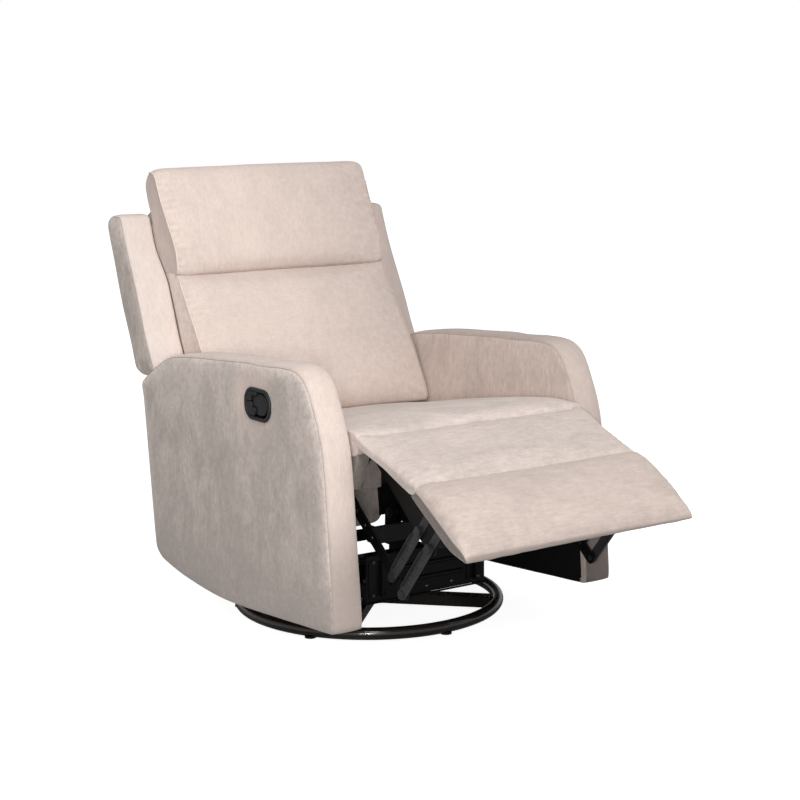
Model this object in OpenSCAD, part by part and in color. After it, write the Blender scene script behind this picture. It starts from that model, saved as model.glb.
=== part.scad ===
// Swivel glider recliner with a chaise footrest.
// Millimetres. Z is up, the front of the chair looks along -Y, and +X is the sitter's left.
// The origin is on the floor at the centre of the round base, on the swivel axis.
// The pose is the half-open one: footrest out, back in its first position.

/* [Overall] */
// Width across the outsides of the two arms
overall_w = 758; // [750:1:780]
// Thickness of each arm
arm_t = 71; // [68:1:74]
// Thickness of the upholstered panels on each side of an arm
arm_panel_t = 8; // [6:1:10]

/* [Round base] */
// Outside diameter of the floor ring
ring_d = 635; // [610:5:660]
// Diameter of the ring's steel tube
ring_tube_d = 28; // [26:1:30]
// Width of the two bars that cross the ring
crossbar_w = 36; // [30:1:40]
// Diameter of the two swivel plates
swivel_plate_d = 230; // [210:5:236]

/* [Glider] */
// Distance between the two pivots of a swing link
swing_len = 100; // [96:1:104]
// Distance from the middle of the base to the front and rear swing links
swing_y = 140; // [136:1:144]
// Radius of the shafts and pins that the links turn on
swing_pin_r = 8; // [7:0.5:9]

/* [Footrest] */
// Width of the steel bars in the footrest linkage
link_w = 26; // [22:1:28]
// Thickness of those bars
link_t = 5; // [4:0.5:5]
// Radius of the linkage's pivot pins
pin_r = 6; // [5:0.5:6]
// Half width of the footrest pad
foot_half = 295; // [285:1:297]

/* [Back and seat] */
// Half width of the seat and back cushions
cushion_half = 300; // [292:1:301]
// Number of wire springs under the seat
spring_count = 4; // [3:1:5]
// Running clearance between each pin and its bore
run = 0.05; // [0.02:0.01:0.08]

/* [Hidden] */
$fn = 48;
half = overall_w / 2;
arm_in = half - arm_t;
steel = [0.09, 0.09, 0.10];
ringcol = [0.10, 0.08, 0.07];
wood = [0.72, 0.60, 0.44];
cream = [0.91, 0.85, 0.81];
taupe = [0.64, 0.60, 0.58];
lining = [0.08, 0.08, 0.08];
black = [0.06, 0.06, 0.06];
zinc = [0.62, 0.62, 0.64];

// ring
ring_r = (ring_d - ring_tube_d) / 2;
ring_z = 2.5 + ring_tube_d / 2;

// glider pivots, as [y, z]
up_z = 170;
low_z = up_z - swing_len;

// footrest linkage, as [y, z]: a chain of parallelograms, so every bar keeps an exact ratio
H = [-390, 462];
V = [92, -116];
T = H + V;
U = [-0.767, -0.642];
J1 = T + 216 * U;
J2 = T + 262 * U;
P1 = J1 - V;
P2 = J2 - V;

// layers of the linkage, measured in X from the middle of the chair
lay_in = 251;
lay_out = lay_in + link_t + 2;
plate_in = 266;
plate_out = 270;

// footrest pad frame: s runs forward along the pad, d runs down through it
Q = [-587, 426];
C = [-0.8468, -0.5319];
N = [0.5319, -0.8468];
function fr(s, d) = [Q[0] + s * C[0] + d * N[0], Q[1] + s * C[1] + d * N[1]];

// recline pivot
R = [250, 330];
// half width of the leaning back's shell
back_half = 303;
// half width of its head part
head_half = 264;

// front and outside faces of the leaning back frame
function backF(z) = 265 + (z - 420) * 0.4138;
function backO(z) = 371 + (z - 400) * 0.387;

// top edge of the sloping seat boards
function seat_top(y) = 447 - 0.145 * (y + 392);

// side outline of an arm, front bottom corner first
arm_line = [
  [-420, 94], [-407, 250], [-390, 415], [-383, 460], [-371, 502], [-350, 550], [-329, 591],
  [-313, 609], [-278, 625], [-233, 626], [-142, 620], [-86, 619], [26, 611], [133, 603],
  [196, 597], [249, 589], [285, 577], [313, 564], [362, 537], [395, 513], [399, 508],
  [392, 476], [369, 304], [343, 119], [308, 98], [216, 81], [82, 66], [-21, 67],
  [-222, 79], [-292, 84], [-403, 94]
];
// inner edge of the band that wraps an arm
band_inner = [
  [-398, 110], [-393, 250], [-376, 418], [-369, 463], [-357, 504], [-336, 546], [-317, 582],
  [-303, 595], [-274, 611], [-232, 612], [-142, 606], [26, 597], [196, 583], [249, 575],
  [283, 563], [352, 528], [384, 504], [378, 476], [355, 304], [331, 128], [304, 112],
  [216, 96], [82, 81], [-21, 82], [-222, 94], [-292, 99]
];
// window cut in the wooden board inside an arm
board_window = [
  [-320, 180], [-300, 430], [-270, 540], [-230, 555], [190, 525], [310, 480], [280, 200],
  [230, 150], [-280, 150]
];

// handle, as [y, z], on the right arm
HC = [-133, 535];
cup_w = 98;
cup_h = 64;
cup_depth = 36;
paddle_axis = [-half + 13, -172];

// release cable, x y z
cable_pts = [
  [-340.4, -140, 520], [-339, -141, 505], [-338, -143, 480], [-338, -147, 450],
  [-338, -152, 420], [-338, -158, 390], [-338, -166, 362], [-336, -176, 338],
  [-330, -188, 320], [-320, -199, 309], [-308, -208, 303], [-296, -215, 300],
  [-284, -221, 298], [-272, -226, 297], [-266, -228, 296]
];

// ---------- helpers ----------

// side outline [y, z] made solid between two X values
module prof(pts, x0, x1) {
  translate([x0, 0, 0]) rotate([90, 0, 90]) linear_extrude(x1 - x0) polygon(pts);
}
// cylinder along X
module rodx(x0, x1, p, r) {
  translate([x0, p[0], p[1]]) rotate([0, 90, 0]) cylinder(h = x1 - x0, r = r);
}
// the same thing on both sides
module both() {
  children();
  mirror([1, 0, 0]) children();
}
// flat bar with round ends and a bore at each end
module bar(a, b, w, x0, x1, ra, rb) {
  d = b - a;
  l = norm(d);
  n = [-d[1], d[0]] * (w / 2 / l);
  difference() {
    union() {
      prof([a + n, b + n, b - n, a - n], x0, x1);
      rodx(x0, x1, a, w / 2);
      rodx(x0, x1, b, w / 2);
    }
    rodx(x0 - 1, x1 + 1, a, ra);
    rodx(x0 - 1, x1 + 1, b, rb);
  }
}
// rounded rectangle [y, z] made solid in X
module rrect(c, w, h, r, x0, x1) {
  translate([x0, c[0], c[1]]) rotate([90, 0, 90]) linear_extrude(x1 - x0) union() {
    square([w - 2 * r, h], center = true);
    square([w, h - 2 * r], center = true);
    for (i = [-1, 1], j = [-1, 1]) translate([i * (w / 2 - r), j * (h / 2 - r)]) circle(r);
  }
}

// ---------- round base ----------

module base_ring() color(ringcol)
  translate([0, 0, ring_z]) rotate_extrude($fn = 96) translate([ring_r, 0]) circle(ring_tube_d / 2);

module base_crossbars() color(ringcol) {
  l = 2 * ring_r - ring_tube_d + 3;
  difference() {
    for (a = [45, 135]) rotate(a) translate([-l / 2, -crossbar_w / 2, 6]) cube([l, crossbar_w, 25]);
    for (a = [45, 135]) rotate(a) translate([-l / 2 - 1, -crossbar_w / 2 + 2, 8]) cube([l + 2, crossbar_w - 4, 21]);
    cylinder(h = 60, r = 6);
    for (a = [45:90:315]) rotate(a) translate([90, 0, 20]) cylinder(h = 20, r = 4);
  }
}

module swivel_lower_plate() color(steel) difference() {
  translate([0, 0, 31]) cylinder(h = 4, r = swivel_plate_d / 2);
  translate([0, 0, 30]) cylinder(h = 6, r = 10);
  for (a = [45:90:315]) rotate(a) translate([90, 0, 30]) cylinder(h = 6, r = 4);
}

module swivel_ball_race() color([0.85, 0.85, 0.82]) difference() {
  translate([0, 0, 35]) cylinder(h = 8.8, r = 76);
  translate([0, 0, 34]) cylinder(h = 11, r = 50);
}

module swivel_king_bolt() color(zinc) {
  translate([0, 0, 31]) cylinder(h = 25, r = 10);
  translate([0, 0, 48.3]) cylinder(h = 7.7, r = 17, $fn = 6);
}

// six under the ring and one under the crossing of the bars
module floor_glides() color(black) {
  for (a = [0:60:300]) rotate(a + 30) translate([ring_r, 0, 0]) cylinder(h = 3.6, r = 13);
  cylinder(h = 6, r = 13);
}

module base_bolts() color(zinc)
  for (a = [45:90:315]) rotate(a) translate([90, 0, 0]) {
    translate([0, 0, 22]) cylinder(h = 13.4, r = 3.95);
    translate([0, 0, 35]) cylinder(h = 4.5, r = 7, $fn = 6);
  }

// ---------- glider base, which turns on the ring ----------

module swivel_upper_plate() color(steel) difference() {
  translate([0, 0, 44.1]) cylinder(h = 3.9, r = swivel_plate_d / 2);
  translate([0, 0, 43]) cylinder(h = 6, r = 10 + run);
}

module glider_cross_channels() color(steel)
  for (y = [-85, 85]) difference() {
    translate([-160, y - 15, 48]) cube([320, 30, 26]);
    translate([-161, y - 13, 50]) cube([322, 26, 22]);
  }

module glider_base_sides() color(steel) both() difference() {
  union() {
    prof([[-226, 88], [226, 88], [226, 120], [-226, 120]], 160, 165);
    for (s = [-1, 1]) {
      prof([[s * 85 - 15, 48], [s * 85 + 15, 48], [s * 85 + 15, 90], [s * 85 - 15, 90]], 160, 165);
      prof([[s * swing_y - 24, 118], [s * swing_y + 24, 118], [s * swing_y + 22, up_z], [s * swing_y - 22, up_z]], 160, 165);
      rodx(160, 165, [s * swing_y, up_z], 22);
    }
  }
  for (s = [-1, 1]) rodx(159, 166, [s * swing_y, up_z], swing_pin_r);
}

module glider_front_plate() color(steel) {
  translate([-165, -230, 80]) cube([330, 4, 105]);
  translate([-158, -226.5, 80]) cube([316, 22, 4]);
  translate([-158, -226.5, 181]) cube([316, 16, 4]);
}

module glider_rear_plate() color(steel) translate([-165, 226, 84]) cube([330, 4, 30]);

module glide_upper_pins() color(zinc) both() for (s = [-1, 1]) {
  rodx(152, 171.3, [s * swing_y, up_z], swing_pin_r);
  rodx(171.3, 175, [s * swing_y, up_z], 13);
  rodx(156, 159.9, [s * swing_y, up_z], 13);
}

module glide_bumpers() color(black) both() for (s = [-1, 1]) rodx(165, 171, [s * (swing_y + 42.5), 104], 8);

module swing_links(y) color(steel) both() difference() {
  union() {
    prof([[y - 14, low_z], [y + 14, low_z], [y + 14, up_z], [y - 14, up_z]], 166, 171);
    rodx(166, 171, [y, low_z], 14);
    rodx(166, 171, [y, up_z], 14);
  }
  rodx(165, 172, [y, up_z], swing_pin_r + run);
  rodx(165, 172, [y, low_z], swing_pin_r);
}
module glide_shaft(y) color(zinc) {
  rodx(-185, 185, [y, low_z], swing_pin_r);
  both() rodx(183, 187, [y, low_z], 12);
}
module front_swing_links() swing_links(-swing_y);
module rear_swing_links() swing_links(swing_y);
module front_glide_shaft() glide_shaft(-swing_y);
module rear_glide_shaft() glide_shaft(swing_y);

// ---------- chair frame ----------

module glide_hangers() color(steel) both() for (s = [-1, 1]) {
  top = s < 0 ? 327 : 287;
  difference() {
    union() {
      prof([[s * swing_y - 16, low_z], [s * swing_y + 16, low_z], [s * swing_y + 20, top], [s * swing_y - 20, top]], 178, 182);
      rodx(178, 182, [s * swing_y, low_z], 16);
    }
    rodx(177, 183, [s * swing_y, low_z], swing_pin_r + (s < 0 ? run : 0.4));
  }
}

module cross_tube(y, z) {
  difference() {
    translate([-304, y - 20, z]) cube([608, 40, 25]);
    translate([-305, y - 18, z + 2]) cube([610, 36, 21]);
  }
  both() translate([304, y - 30, z - 14]) cube([arm_in - 304, 60, 53]);
}
module frame_cross_tubes() color(steel) {
  cross_tube(-140, 327);
  cross_tube(140, 287);
}

module seat_side_boards() color(wood) both()
  prof([[-360, seat_top(-360)], [200, seat_top(200)], [200, seat_top(200) - 55], [-360, seat_top(-360) - 55]], 240, 266);

module seat_end_boards() color(wood) {
  prof([[-360, seat_top(-360)], [-340, seat_top(-340)], [-340, seat_top(-340) - 50], [-360, seat_top(-360) - 50]], -240, 240);
  prof([[180, seat_top(180)], [200, seat_top(200)], [200, seat_top(200) - 50], [180, seat_top(180) - 50]], -240, 240);
}

module mechanism_plate() difference() {
  union() {
    prof([
      [-404, 452], [-400, 476], [-376, 478], [-364, 446], [-338, seat_top(-338)], [200, seat_top(200)],
      [250, 350], [250, 310], [190, 317], [100, 324], [-100, 356], [-180, 362], [-262, 330],
      [-316, 324], [-322, 350], [-388, 438]
    ], plate_in, plate_out);
    rodx(plate_in, plate_out, R, 20);
  }
  rodx(plate_in - 1, plate_out + 1, H, pin_r);
  rodx(plate_in - 1, plate_out + 1, T, pin_r);
  rodx(plate_in - 1, plate_out + 1, R, 8);
}
module mechanism_plate_left() color(steel) mechanism_plate();
module mechanism_plate_right() color(steel) mirror([1, 0, 0]) difference() {
  mechanism_plate();
  rodx(plate_in - 1, plate_out + 1, [-250, 344], 4);
}

module legrest_pivot_pins() color(zinc) {
  both() for (p = [H, T]) {
    rodx(lay_in - 0.3, plate_out, p, pin_r);
    rodx(lay_in - 4, lay_in - 0.3, p, pin_r + 5);
    rodx(lay_in + link_t + 0.3, plate_in, p, pin_r + 4);
  }
  mirror([1, 0, 0]) rodx(lay_out - 3, plate_out, [-250, 344], 4);
}

module recline_pivot_pins() color(zinc) both() {
  rodx(254, plate_out, R, 8);
  rodx(251, 254, R, 13);
  rodx(263.3, plate_in, R, 12);
}

// one wire spring: straight runs across the seat joined by half turns
module wire_spring(n, w, r) {
  for (i = [0:n - 1]) translate([0, i * 2 * w, 0]) {
    translate([-w, 0, 0]) rotate([0, 90, 0]) cylinder(h = 2 * w, r = r, $fn = 16);
    if (i < n - 1) translate([i % 2 == 0 ? w : -w, w, 0]) rotate([0, 0, i % 2 == 0 ? -90 : 90])
      rotate_extrude(angle = 180, $fn = 32) translate([w, 0]) circle(r, $fn = 16);
  }
}
module seat_springs() color(zinc) {
  n = 13;
  w = 22;
  span = 460;
  for (k = [0:spring_count - 1])
    translate([-span / 2 + span * (k + 0.5) / spring_count, -352, seat_top(-352) + 2.4])
      rotate([-8.25, 0, 0]) wire_spring(n, w, 2);
}

// ---------- upholstery on the chair frame ----------

module seat_cushion() color(cream) difference() {
  prof([
    [-402, 486], [-401, 496], [-392, 503], [-370, 508], [-332, 511], [-297, 510], [-196, 494],
    [-70, 471], [48, 448], [185, 423], [236, 413], [236, seat_top(236) + 7], [-340, seat_top(-340) + 7],
    [-366, 452], [-402, 457]
  ], -cushion_half, cushion_half);
  for (s = [-1, 1]) translate([s * 275 - 38, -420, 440]) cube([76, 58, 42]);
}

module chaise_bridge() color(cream)
  prof([[-403, 484], [-403, 500], [-480, 474], [-540, 452], [-586, 430], [-580, 410], [-520, 432]], -foot_half, foot_half);

module arm_outer(x0, x1) prof(arm_line, x0, x1);
module arm_band(x0, x1) difference() {
  prof(arm_line, x0, x1);
  prof(band_inner, x0 - 1, x1 + 1);
}
module arm_board(x0, x1) difference() {
  prof([for (p = band_inner) [0, 350] + 0.995 * (p - [0, 350])], x0, x1);
  prof(board_window, x0 - 1, x1 + 1);
}
module arm_outer_panel_left() color(taupe) arm_outer(half - arm_panel_t, half);
module arm_outer_panel_right() color(taupe) difference() {
  arm_outer(-half, -half + arm_panel_t);
  rrect(HC, cup_w + 0.4, cup_h + 0.4, 20.2, -half - 1, -half + arm_panel_t + 1);
}
module arm_inner_panel_left() color(lining) arm_outer(arm_in, arm_in + arm_panel_t);
module arm_inner_panel_right() color(lining) difference() {
  arm_outer(-arm_in - arm_panel_t, -arm_in);
  rodx(-arm_in - arm_panel_t - 1, -arm_in + 1, [-205.5, 304.5], 9);
}
module arm_band_left() color(cream) arm_band(arm_in + arm_panel_t, half - arm_panel_t);
module arm_band_right() color(cream) arm_band(-half + arm_panel_t, -arm_in - arm_panel_t);
module arm_frame_left() color(wood) arm_board(arm_in + arm_panel_t, arm_in + arm_panel_t + 16);
module arm_frame_right() color(wood) arm_board(-arm_in - arm_panel_t - 16, -arm_in - arm_panel_t);

// ---------- release handle, cable and latch, on the right arm ----------

module handle_bezel() color(black) {
  difference() {
    union() {
      rrect(HC, cup_w + 8, cup_h + 8, 24, -half - 3, -half);
      rrect(HC, cup_w, cup_h, 20, -half, -half + cup_depth);
    }
    rrect(HC, cup_w - 6, cup_h - 6, 17, -half - 4, -half + cup_depth - 3);
  }
  translate([paddle_axis[0], paddle_axis[1], HC[1] - cup_h / 2 + 1]) cylinder(h = cup_h - 2, r = 2);
}

module handle_paddle() color(black) difference() {
  union() {
    rrect([-149, HC[1]], 40, 50, 8, -half + 1, -half + 7);
    translate([-half + 1, -131, HC[1] - 4]) cube([6, 19, 24]);
    translate([-half + 1, -171, HC[1] - 17]) cube([12, 6, 34]);
    translate([paddle_axis[0], paddle_axis[1], HC[1] - 17]) cylinder(h = 34, r = 5);
  }
  translate([paddle_axis[0], paddle_axis[1], HC[1] - 26]) cylinder(h = 52, r = 2 + run);
}

// tube swept along the cable's points
function sweep_dir(P, i) = let (n = len(P), d = P[min(i + 1, n - 1)] - P[max(i - 1, 0)]) d / norm(d);
function sweep_ring(P, i, r, k) = let (t = sweep_dir(P, i), a0 = cross(t, [0, 1, 0]), a = a0 / norm(a0), b = cross(t, a))
  [for (j = [0:k - 1]) P[i] + r * (cos(360 * j / k) * a + sin(360 * j / k) * b)];
module sweep_tube(P, r, k) {
  n = len(P);
  pts = [for (i = [0:n - 1]) each sweep_ring(P, i, r, k)];
  faces = concat(
    [[for (j = [0:k - 1]) j]],
    [for (i = [0:n - 2]) for (j = [0:k - 1]) [i * k + j, (i + 1) * k + j, (i + 1) * k + (j + 1) % k, i * k + (j + 1) % k]],
    [[for (j = [k - 1:-1:0]) (n - 1) * k + j]]
  );
  polyhedron(points = pts, faces = faces, convexity = 4);
}
module release_cable() color(black) sweep_tube(cable_pts, 2.5, 8);

module latch_pawl() color(steel) mirror([1, 0, 0]) difference() {
  union() {
    prof([[-281, 350], [-281, 341], [-262, 332], [-240, 332], [-231, 304], [-221, 306], [-232, 350], [-250, 356]], lay_out, lay_out + link_t);
    rodx(lay_out, lay_out + link_t, [-250, 344], 11);
  }
  rodx(lay_out - 1, lay_out + link_t + 1, [-250, 344], 4 + run);
}

// ---------- lower back of the chair ----------

module rear_rail() color(wood) translate([-arm_in, 320, 238]) cube([2 * arm_in, 26, 40]);

// leans with the rear edges of the arms
module rear_panel() color(taupe) translate([0, 338.2, 92]) rotate([-8, 0, 0]) rotate([90, 0, 0]) linear_extrude(12, center = true) union() {
  translate([-282, 35]) square([564, 163]);
  translate([-247, 0]) square([494, 60]);
  for (s = [-1, 1]) translate([s * 247, 35]) circle(35);
}

// ---------- footrest and its linkage ----------

module footrest_arms() color(steel) both() {
  difference() {
    union() {
      prof([H + [8, 10], H + [-10, 9], fr(6, 60), fr(12, 21), fr(150, 21), fr(110, 70), P2 + [-16, 2], P2 + [4, -14], H + [10, -9]], lay_in, lay_in + link_t);
      rodx(lay_in, lay_in + link_t, H, 13);
      rodx(lay_in, lay_in + link_t, P2, 15);
    }
    rodx(lay_in - 1, lay_in + link_t + 1, H, pin_r + run);
    rodx(lay_in - 1, lay_in + link_t + 1, P1, pin_r);
    rodx(lay_in - 1, lay_in + link_t + 1, P2, pin_r);
  }
  prof([fr(12, 21), fr(190, 21), fr(190, 25), fr(12, 25)], lay_in - 28, lay_in);
}

module footrest_pins() color(zinc) both() for (p = [P1, P2]) {
  rodx(lay_in, lay_out + link_t + 0.3, p, pin_r);
  rodx(lay_out + link_t + 0.3, lay_out + link_t + 2.6, p, pin_r + 4);
}

module footrest_board() color(wood) prof([fr(4, 8.2), fr(205, 8.2), fr(205, 21), fr(4, 21)], -foot_half + 8, foot_half - 8);

module footrest_cushion() color(cream) prof([
    fr(4, 8), fr(2, 0), fr(8, -15), fr(41, -26), fr(109, -34), fr(151, -35), fr(183, -30), fr(199, -23),
    fr(210, -8), fr(212, 2), fr(210, 8)
  ], -foot_half, foot_half);

module drive_links() color(steel) both() difference() {
  union() {
    bar(T, J2, link_w, lay_in, lay_in + link_t, pin_r + run, pin_r);
    prof([T + 70 * U, T + 120 * U, [-384, 262], [-366, 262]], lay_in, lay_in + link_t);
  }
  rodx(lay_in - 1, lay_in + link_t + 1, J1, pin_r);
}

module drive_cross_rail() color(steel) difference() {
  prof([[-382, 258], [-370, 258], [-370, 294], [-382, 294]], -lay_in, lay_in);
  prof([[-380, 260], [-372, 260], [-372, 292], [-380, 292]], -lay_in - 1, lay_in + 1);
}

module drive_pins() color(zinc) both() for (p = [J1, J2]) {
  rodx(lay_in, lay_out + link_t + 0.3, p, pin_r);
  rodx(lay_out + link_t + 0.3, lay_out + link_t + 2.6, p, pin_r + 4);
}

module coupler(j, p) color([0.22, 0.22, 0.23]) both() difference() {
  bar(j, p, link_w - 3.4, lay_out, lay_out + link_t, pin_r + 0.4, pin_r + run);
  for (t = [0.42, 0.6]) rodx(lay_out - 1, lay_out + link_t + 1, j + t * (p - j), 2.5);
}
module coupler_front() coupler(J2, P2);
module coupler_rear() coupler(J1, P1);

// ---------- reclining back ----------

module back_posts() color(wood) both()
  prof([[backF(385) + 1, 385], [backF(976) + 1, 976], [541, 976], [backF(860) + 60, 860], [backF(385) + 60, 385]], 232, 258);

module back_rails() color(wood) {
  for (z = [430, 620, 812])
    prof([[backF(z) + 60, z], [backF(z + 48) + 60, z + 48], [backF(z + 48) + 79, z + 48], [backF(z) + 79, z]], -291, 291);
  prof([[backF(926) + 20, 926], [backF(974) + 20, 974], [backF(974) + 39, 974], [backF(926) + 39, 926]], -232, 232);
}

module recline_brackets() color(steel) both() difference() {
  union() {
    prof([[232, 338], [254, 392], [300, 500], [340, 500], [300, 392], [270, 326]], 258, 263);
    rodx(258, 263, R, 20);
  }
  rodx(257, 264, R, 8 + run);
}

module lumbar_cushion() color(cream) prof([
    [206, 434], [186, 440], [176, 456], [182, 500], [212, 568], [258, 640], [302, 700], [340, 744],
    [364, 756], [backF(757) - 1, 757], [backF(434) - 1, 434]
  ], -cushion_half, cushion_half);

module head_cushion() color(cream) prof([
    [366, 762], [350, 782], [352, 826], [374, 892], [404, 954], [432, 998], [460, 1013], [490, 1013],
    [508, 1000], [backF(990) - 1, 990], [backF(761) - 1, 761]
  ], -cushion_half, cushion_half);

module wing() prof([
    [354, 566], [369, 612], [418, 747], [489, 888], [500, 901], [521, 905], [545, 897], [556, 880],
    [493, 699], [450, 604], [425, 555], [400, 552], [375, 556]
  ], back_half, half);
module wing_left() color(taupe) wing();
module wing_right() color(taupe) mirror([1, 0, 0]) wing();

// the shell that closes the back: rear panel and sides, with a narrower head part on top
module outside_back() color(taupe) {
  prof([[backO(345) - 10, 345], [backO(880) - 10, 880], [backO(880), 880], [backO(345), 345]], -back_half, back_half);
  both() prof([[backF(362) + 1, 362], [backF(880) + 1, 880], [backO(880) - 5, 880], [backO(362) - 5, 362]], back_half - 11, back_half);
  both() prof([[backF(872) + 1, 872], [backF(880) + 1, 880], [backO(880) - 5, 880], [backO(872) - 5, 872]], head_half - 5, back_half - 5);
  both() prof([[backF(874) + 1, 874], [backF(988) + 1, 988], [545, 988], [550, 874]], head_half - 5, head_half);
  prof([[546, 874], [542, 988], [549, 988], [555, 874]], -head_half, head_half);
  prof([[backF(980) + 1, 980], [backF(988) + 1, 988], [545, 988], [545, 980]], -head_half + 3, head_half - 3);
}

// ---------- placing ----------

base_ring();
base_crossbars();
swivel_lower_plate();
swivel_ball_race();
swivel_king_bolt();
floor_glides();
base_bolts();
swivel_upper_plate();
glider_cross_channels();
glider_base_sides();
glider_front_plate();
glider_rear_plate();
glide_upper_pins();
glide_bumpers();
front_swing_links();
front_glide_shaft();
rear_swing_links();
rear_glide_shaft();
glide_hangers();
frame_cross_tubes();
seat_side_boards();
seat_end_boards();
mechanism_plate_left();
mechanism_plate_right();
seat_springs();
seat_cushion();
chaise_bridge();
arm_frame_left();
arm_frame_right();
arm_outer_panel_left();
arm_outer_panel_right();
arm_band_left();
arm_band_right();
arm_inner_panel_left();
arm_inner_panel_right();
handle_bezel();
release_cable();
legrest_pivot_pins();
recline_pivot_pins();
rear_rail();
rear_panel();
handle_paddle();
latch_pawl();
footrest_arms();
footrest_board();
footrest_cushion();
footrest_pins();
drive_links();
drive_cross_rail();
drive_pins();
coupler_front();
coupler_rear();
back_posts();
back_rails();
recline_brackets();
lumbar_cushion();
head_cushion();
wing_left();
wing_right();
outside_back();
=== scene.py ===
import math

import bmesh
import bpy
import numpy as np
from mathutils import Matrix, Vector
from mathutils.geometry import delaunay_2d_cdt


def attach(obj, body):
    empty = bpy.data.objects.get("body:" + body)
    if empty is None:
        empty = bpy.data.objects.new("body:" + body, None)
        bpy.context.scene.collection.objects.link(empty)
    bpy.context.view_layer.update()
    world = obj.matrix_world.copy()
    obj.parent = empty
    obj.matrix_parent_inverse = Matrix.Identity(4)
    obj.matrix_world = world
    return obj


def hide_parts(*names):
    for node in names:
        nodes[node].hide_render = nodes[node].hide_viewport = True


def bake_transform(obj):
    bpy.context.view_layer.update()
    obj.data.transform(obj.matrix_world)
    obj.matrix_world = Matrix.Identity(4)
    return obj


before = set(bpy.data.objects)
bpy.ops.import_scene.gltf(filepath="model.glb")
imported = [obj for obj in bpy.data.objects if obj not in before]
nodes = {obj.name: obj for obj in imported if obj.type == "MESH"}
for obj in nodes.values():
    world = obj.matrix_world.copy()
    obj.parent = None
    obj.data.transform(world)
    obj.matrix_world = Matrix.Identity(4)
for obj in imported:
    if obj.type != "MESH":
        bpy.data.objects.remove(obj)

scene = bpy.context.scene
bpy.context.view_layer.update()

HALF = 379.0
ARM_IN = 308.0


# ------------------------------------------------------------------ numbers

def ease(x):
    x = np.clip(x, 0.0, 1.0)
    return x * x * (3 - 2 * x)


def vnoise(p, size, seed=0):
    """Smooth value noise in -1..1 at points p (n, 3), with blobs about size across."""
    q = np.asarray(p, float) / size + 137.0 * (seed + 1)
    i = np.floor(q).astype(np.int64)
    f = q - i
    f = f * f * (3 - 2 * f)

    def h(a, b, c):
        n = (a * 73856093) ^ (b * 19349663) ^ (c * 83492791) ^ (seed * 982451653)
        n = (n ^ (n >> 13)) * 1274126177
        return ((n ^ (n >> 16)) & 0xFFFF) / 32767.5 - 1.0

    out = 0.0
    for dx in (0, 1):
        for dy in (0, 1):
            for dz in (0, 1):
                w = (f[:, 0] if dx else 1 - f[:, 0]) * (f[:, 1] if dy else 1 - f[:, 1]) * (f[:, 2] if dz else 1 - f[:, 2])
                out = out + w * h(i[:, 0] + dx, i[:, 1] + dy, i[:, 2] + dz)
    return out


def curve(pts, step, closed=True):
    """Smooth line through pts, sampled about every step. A third item in a point marks a corner."""
    P = np.array([p[:2] for p in pts], float)
    corner = [len(p) > 2 for p in pts]
    n = len(P)
    out = []
    last = n if closed else n - 1
    for k in range(last):
        a, b = P[k], P[(k + 1) % n]
        pa = P[(k - 1) % n] if (closed or k > 0) else a
        pb = P[(k + 2) % n] if (closed or k < n - 2) else b
        L = np.linalg.norm(b - a)
        ta = (b - a) if corner[k] else (b - pa) * (L / max(1e-6, np.linalg.norm(a - pa) + L))
        tb = (b - a) if corner[(k + 1) % n] else (pb - a) * (L / max(1e-6, np.linalg.norm(pb - b) + L))
        m = max(1, int(round(L / step)))
        for j in range(m):
            t = j / m
            h00, h10, h01, h11 = 2 * t**3 - 3 * t**2 + 1, t**3 - 2 * t**2 + t, -2 * t**3 + 3 * t**2, t**3 - t**2
            out.append(h00 * a + h10 * ta + h01 * b + h11 * tb)
    if not closed:
        out.append(P[-1])
    return np.array(out)


def area2(P):
    return 0.5 * np.sum(P[:, 0] * np.roll(P[:, 1], -1) - np.roll(P[:, 0], -1) * P[:, 1])


def normals2(P):
    """Outward normals of a closed outline that runs anticlockwise."""
    d = np.roll(P, -1, 0) - np.roll(P, 1, 0)
    n = np.stack([d[:, 1], -d[:, 0]], 1)
    return n / np.maximum(1e-9, np.linalg.norm(n, axis=1))[:, None]


def edge_distance(Q, P, closed=True):
    """Distance from points Q to the outline P."""
    A = P if closed else P[:-1]
    B = np.roll(P, -1, 0) if closed else P[1:]
    best = np.full(len(Q), 1e9)
    for a, b in zip(A, B):
        d = b - a
        t = np.clip(((Q - a) @ d) / max(1e-9, d @ d), 0, 1)
        best = np.minimum(best, np.linalg.norm(Q - a - t[:, None] * d, axis=1))
    return best


def inside(Q, P):
    r = np.zeros(len(Q), bool)
    x, y = Q[:, 0], Q[:, 1]
    for a, b in zip(P, np.roll(P, -1, 0)):
        c = (a[1] > y) != (b[1] > y)
        with np.errstate(divide="ignore", invalid="ignore"):
            r ^= c & (x < (b[0] - a[0]) * (y - a[1]) / (b[1] - a[1]) + a[0])
    return r


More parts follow.
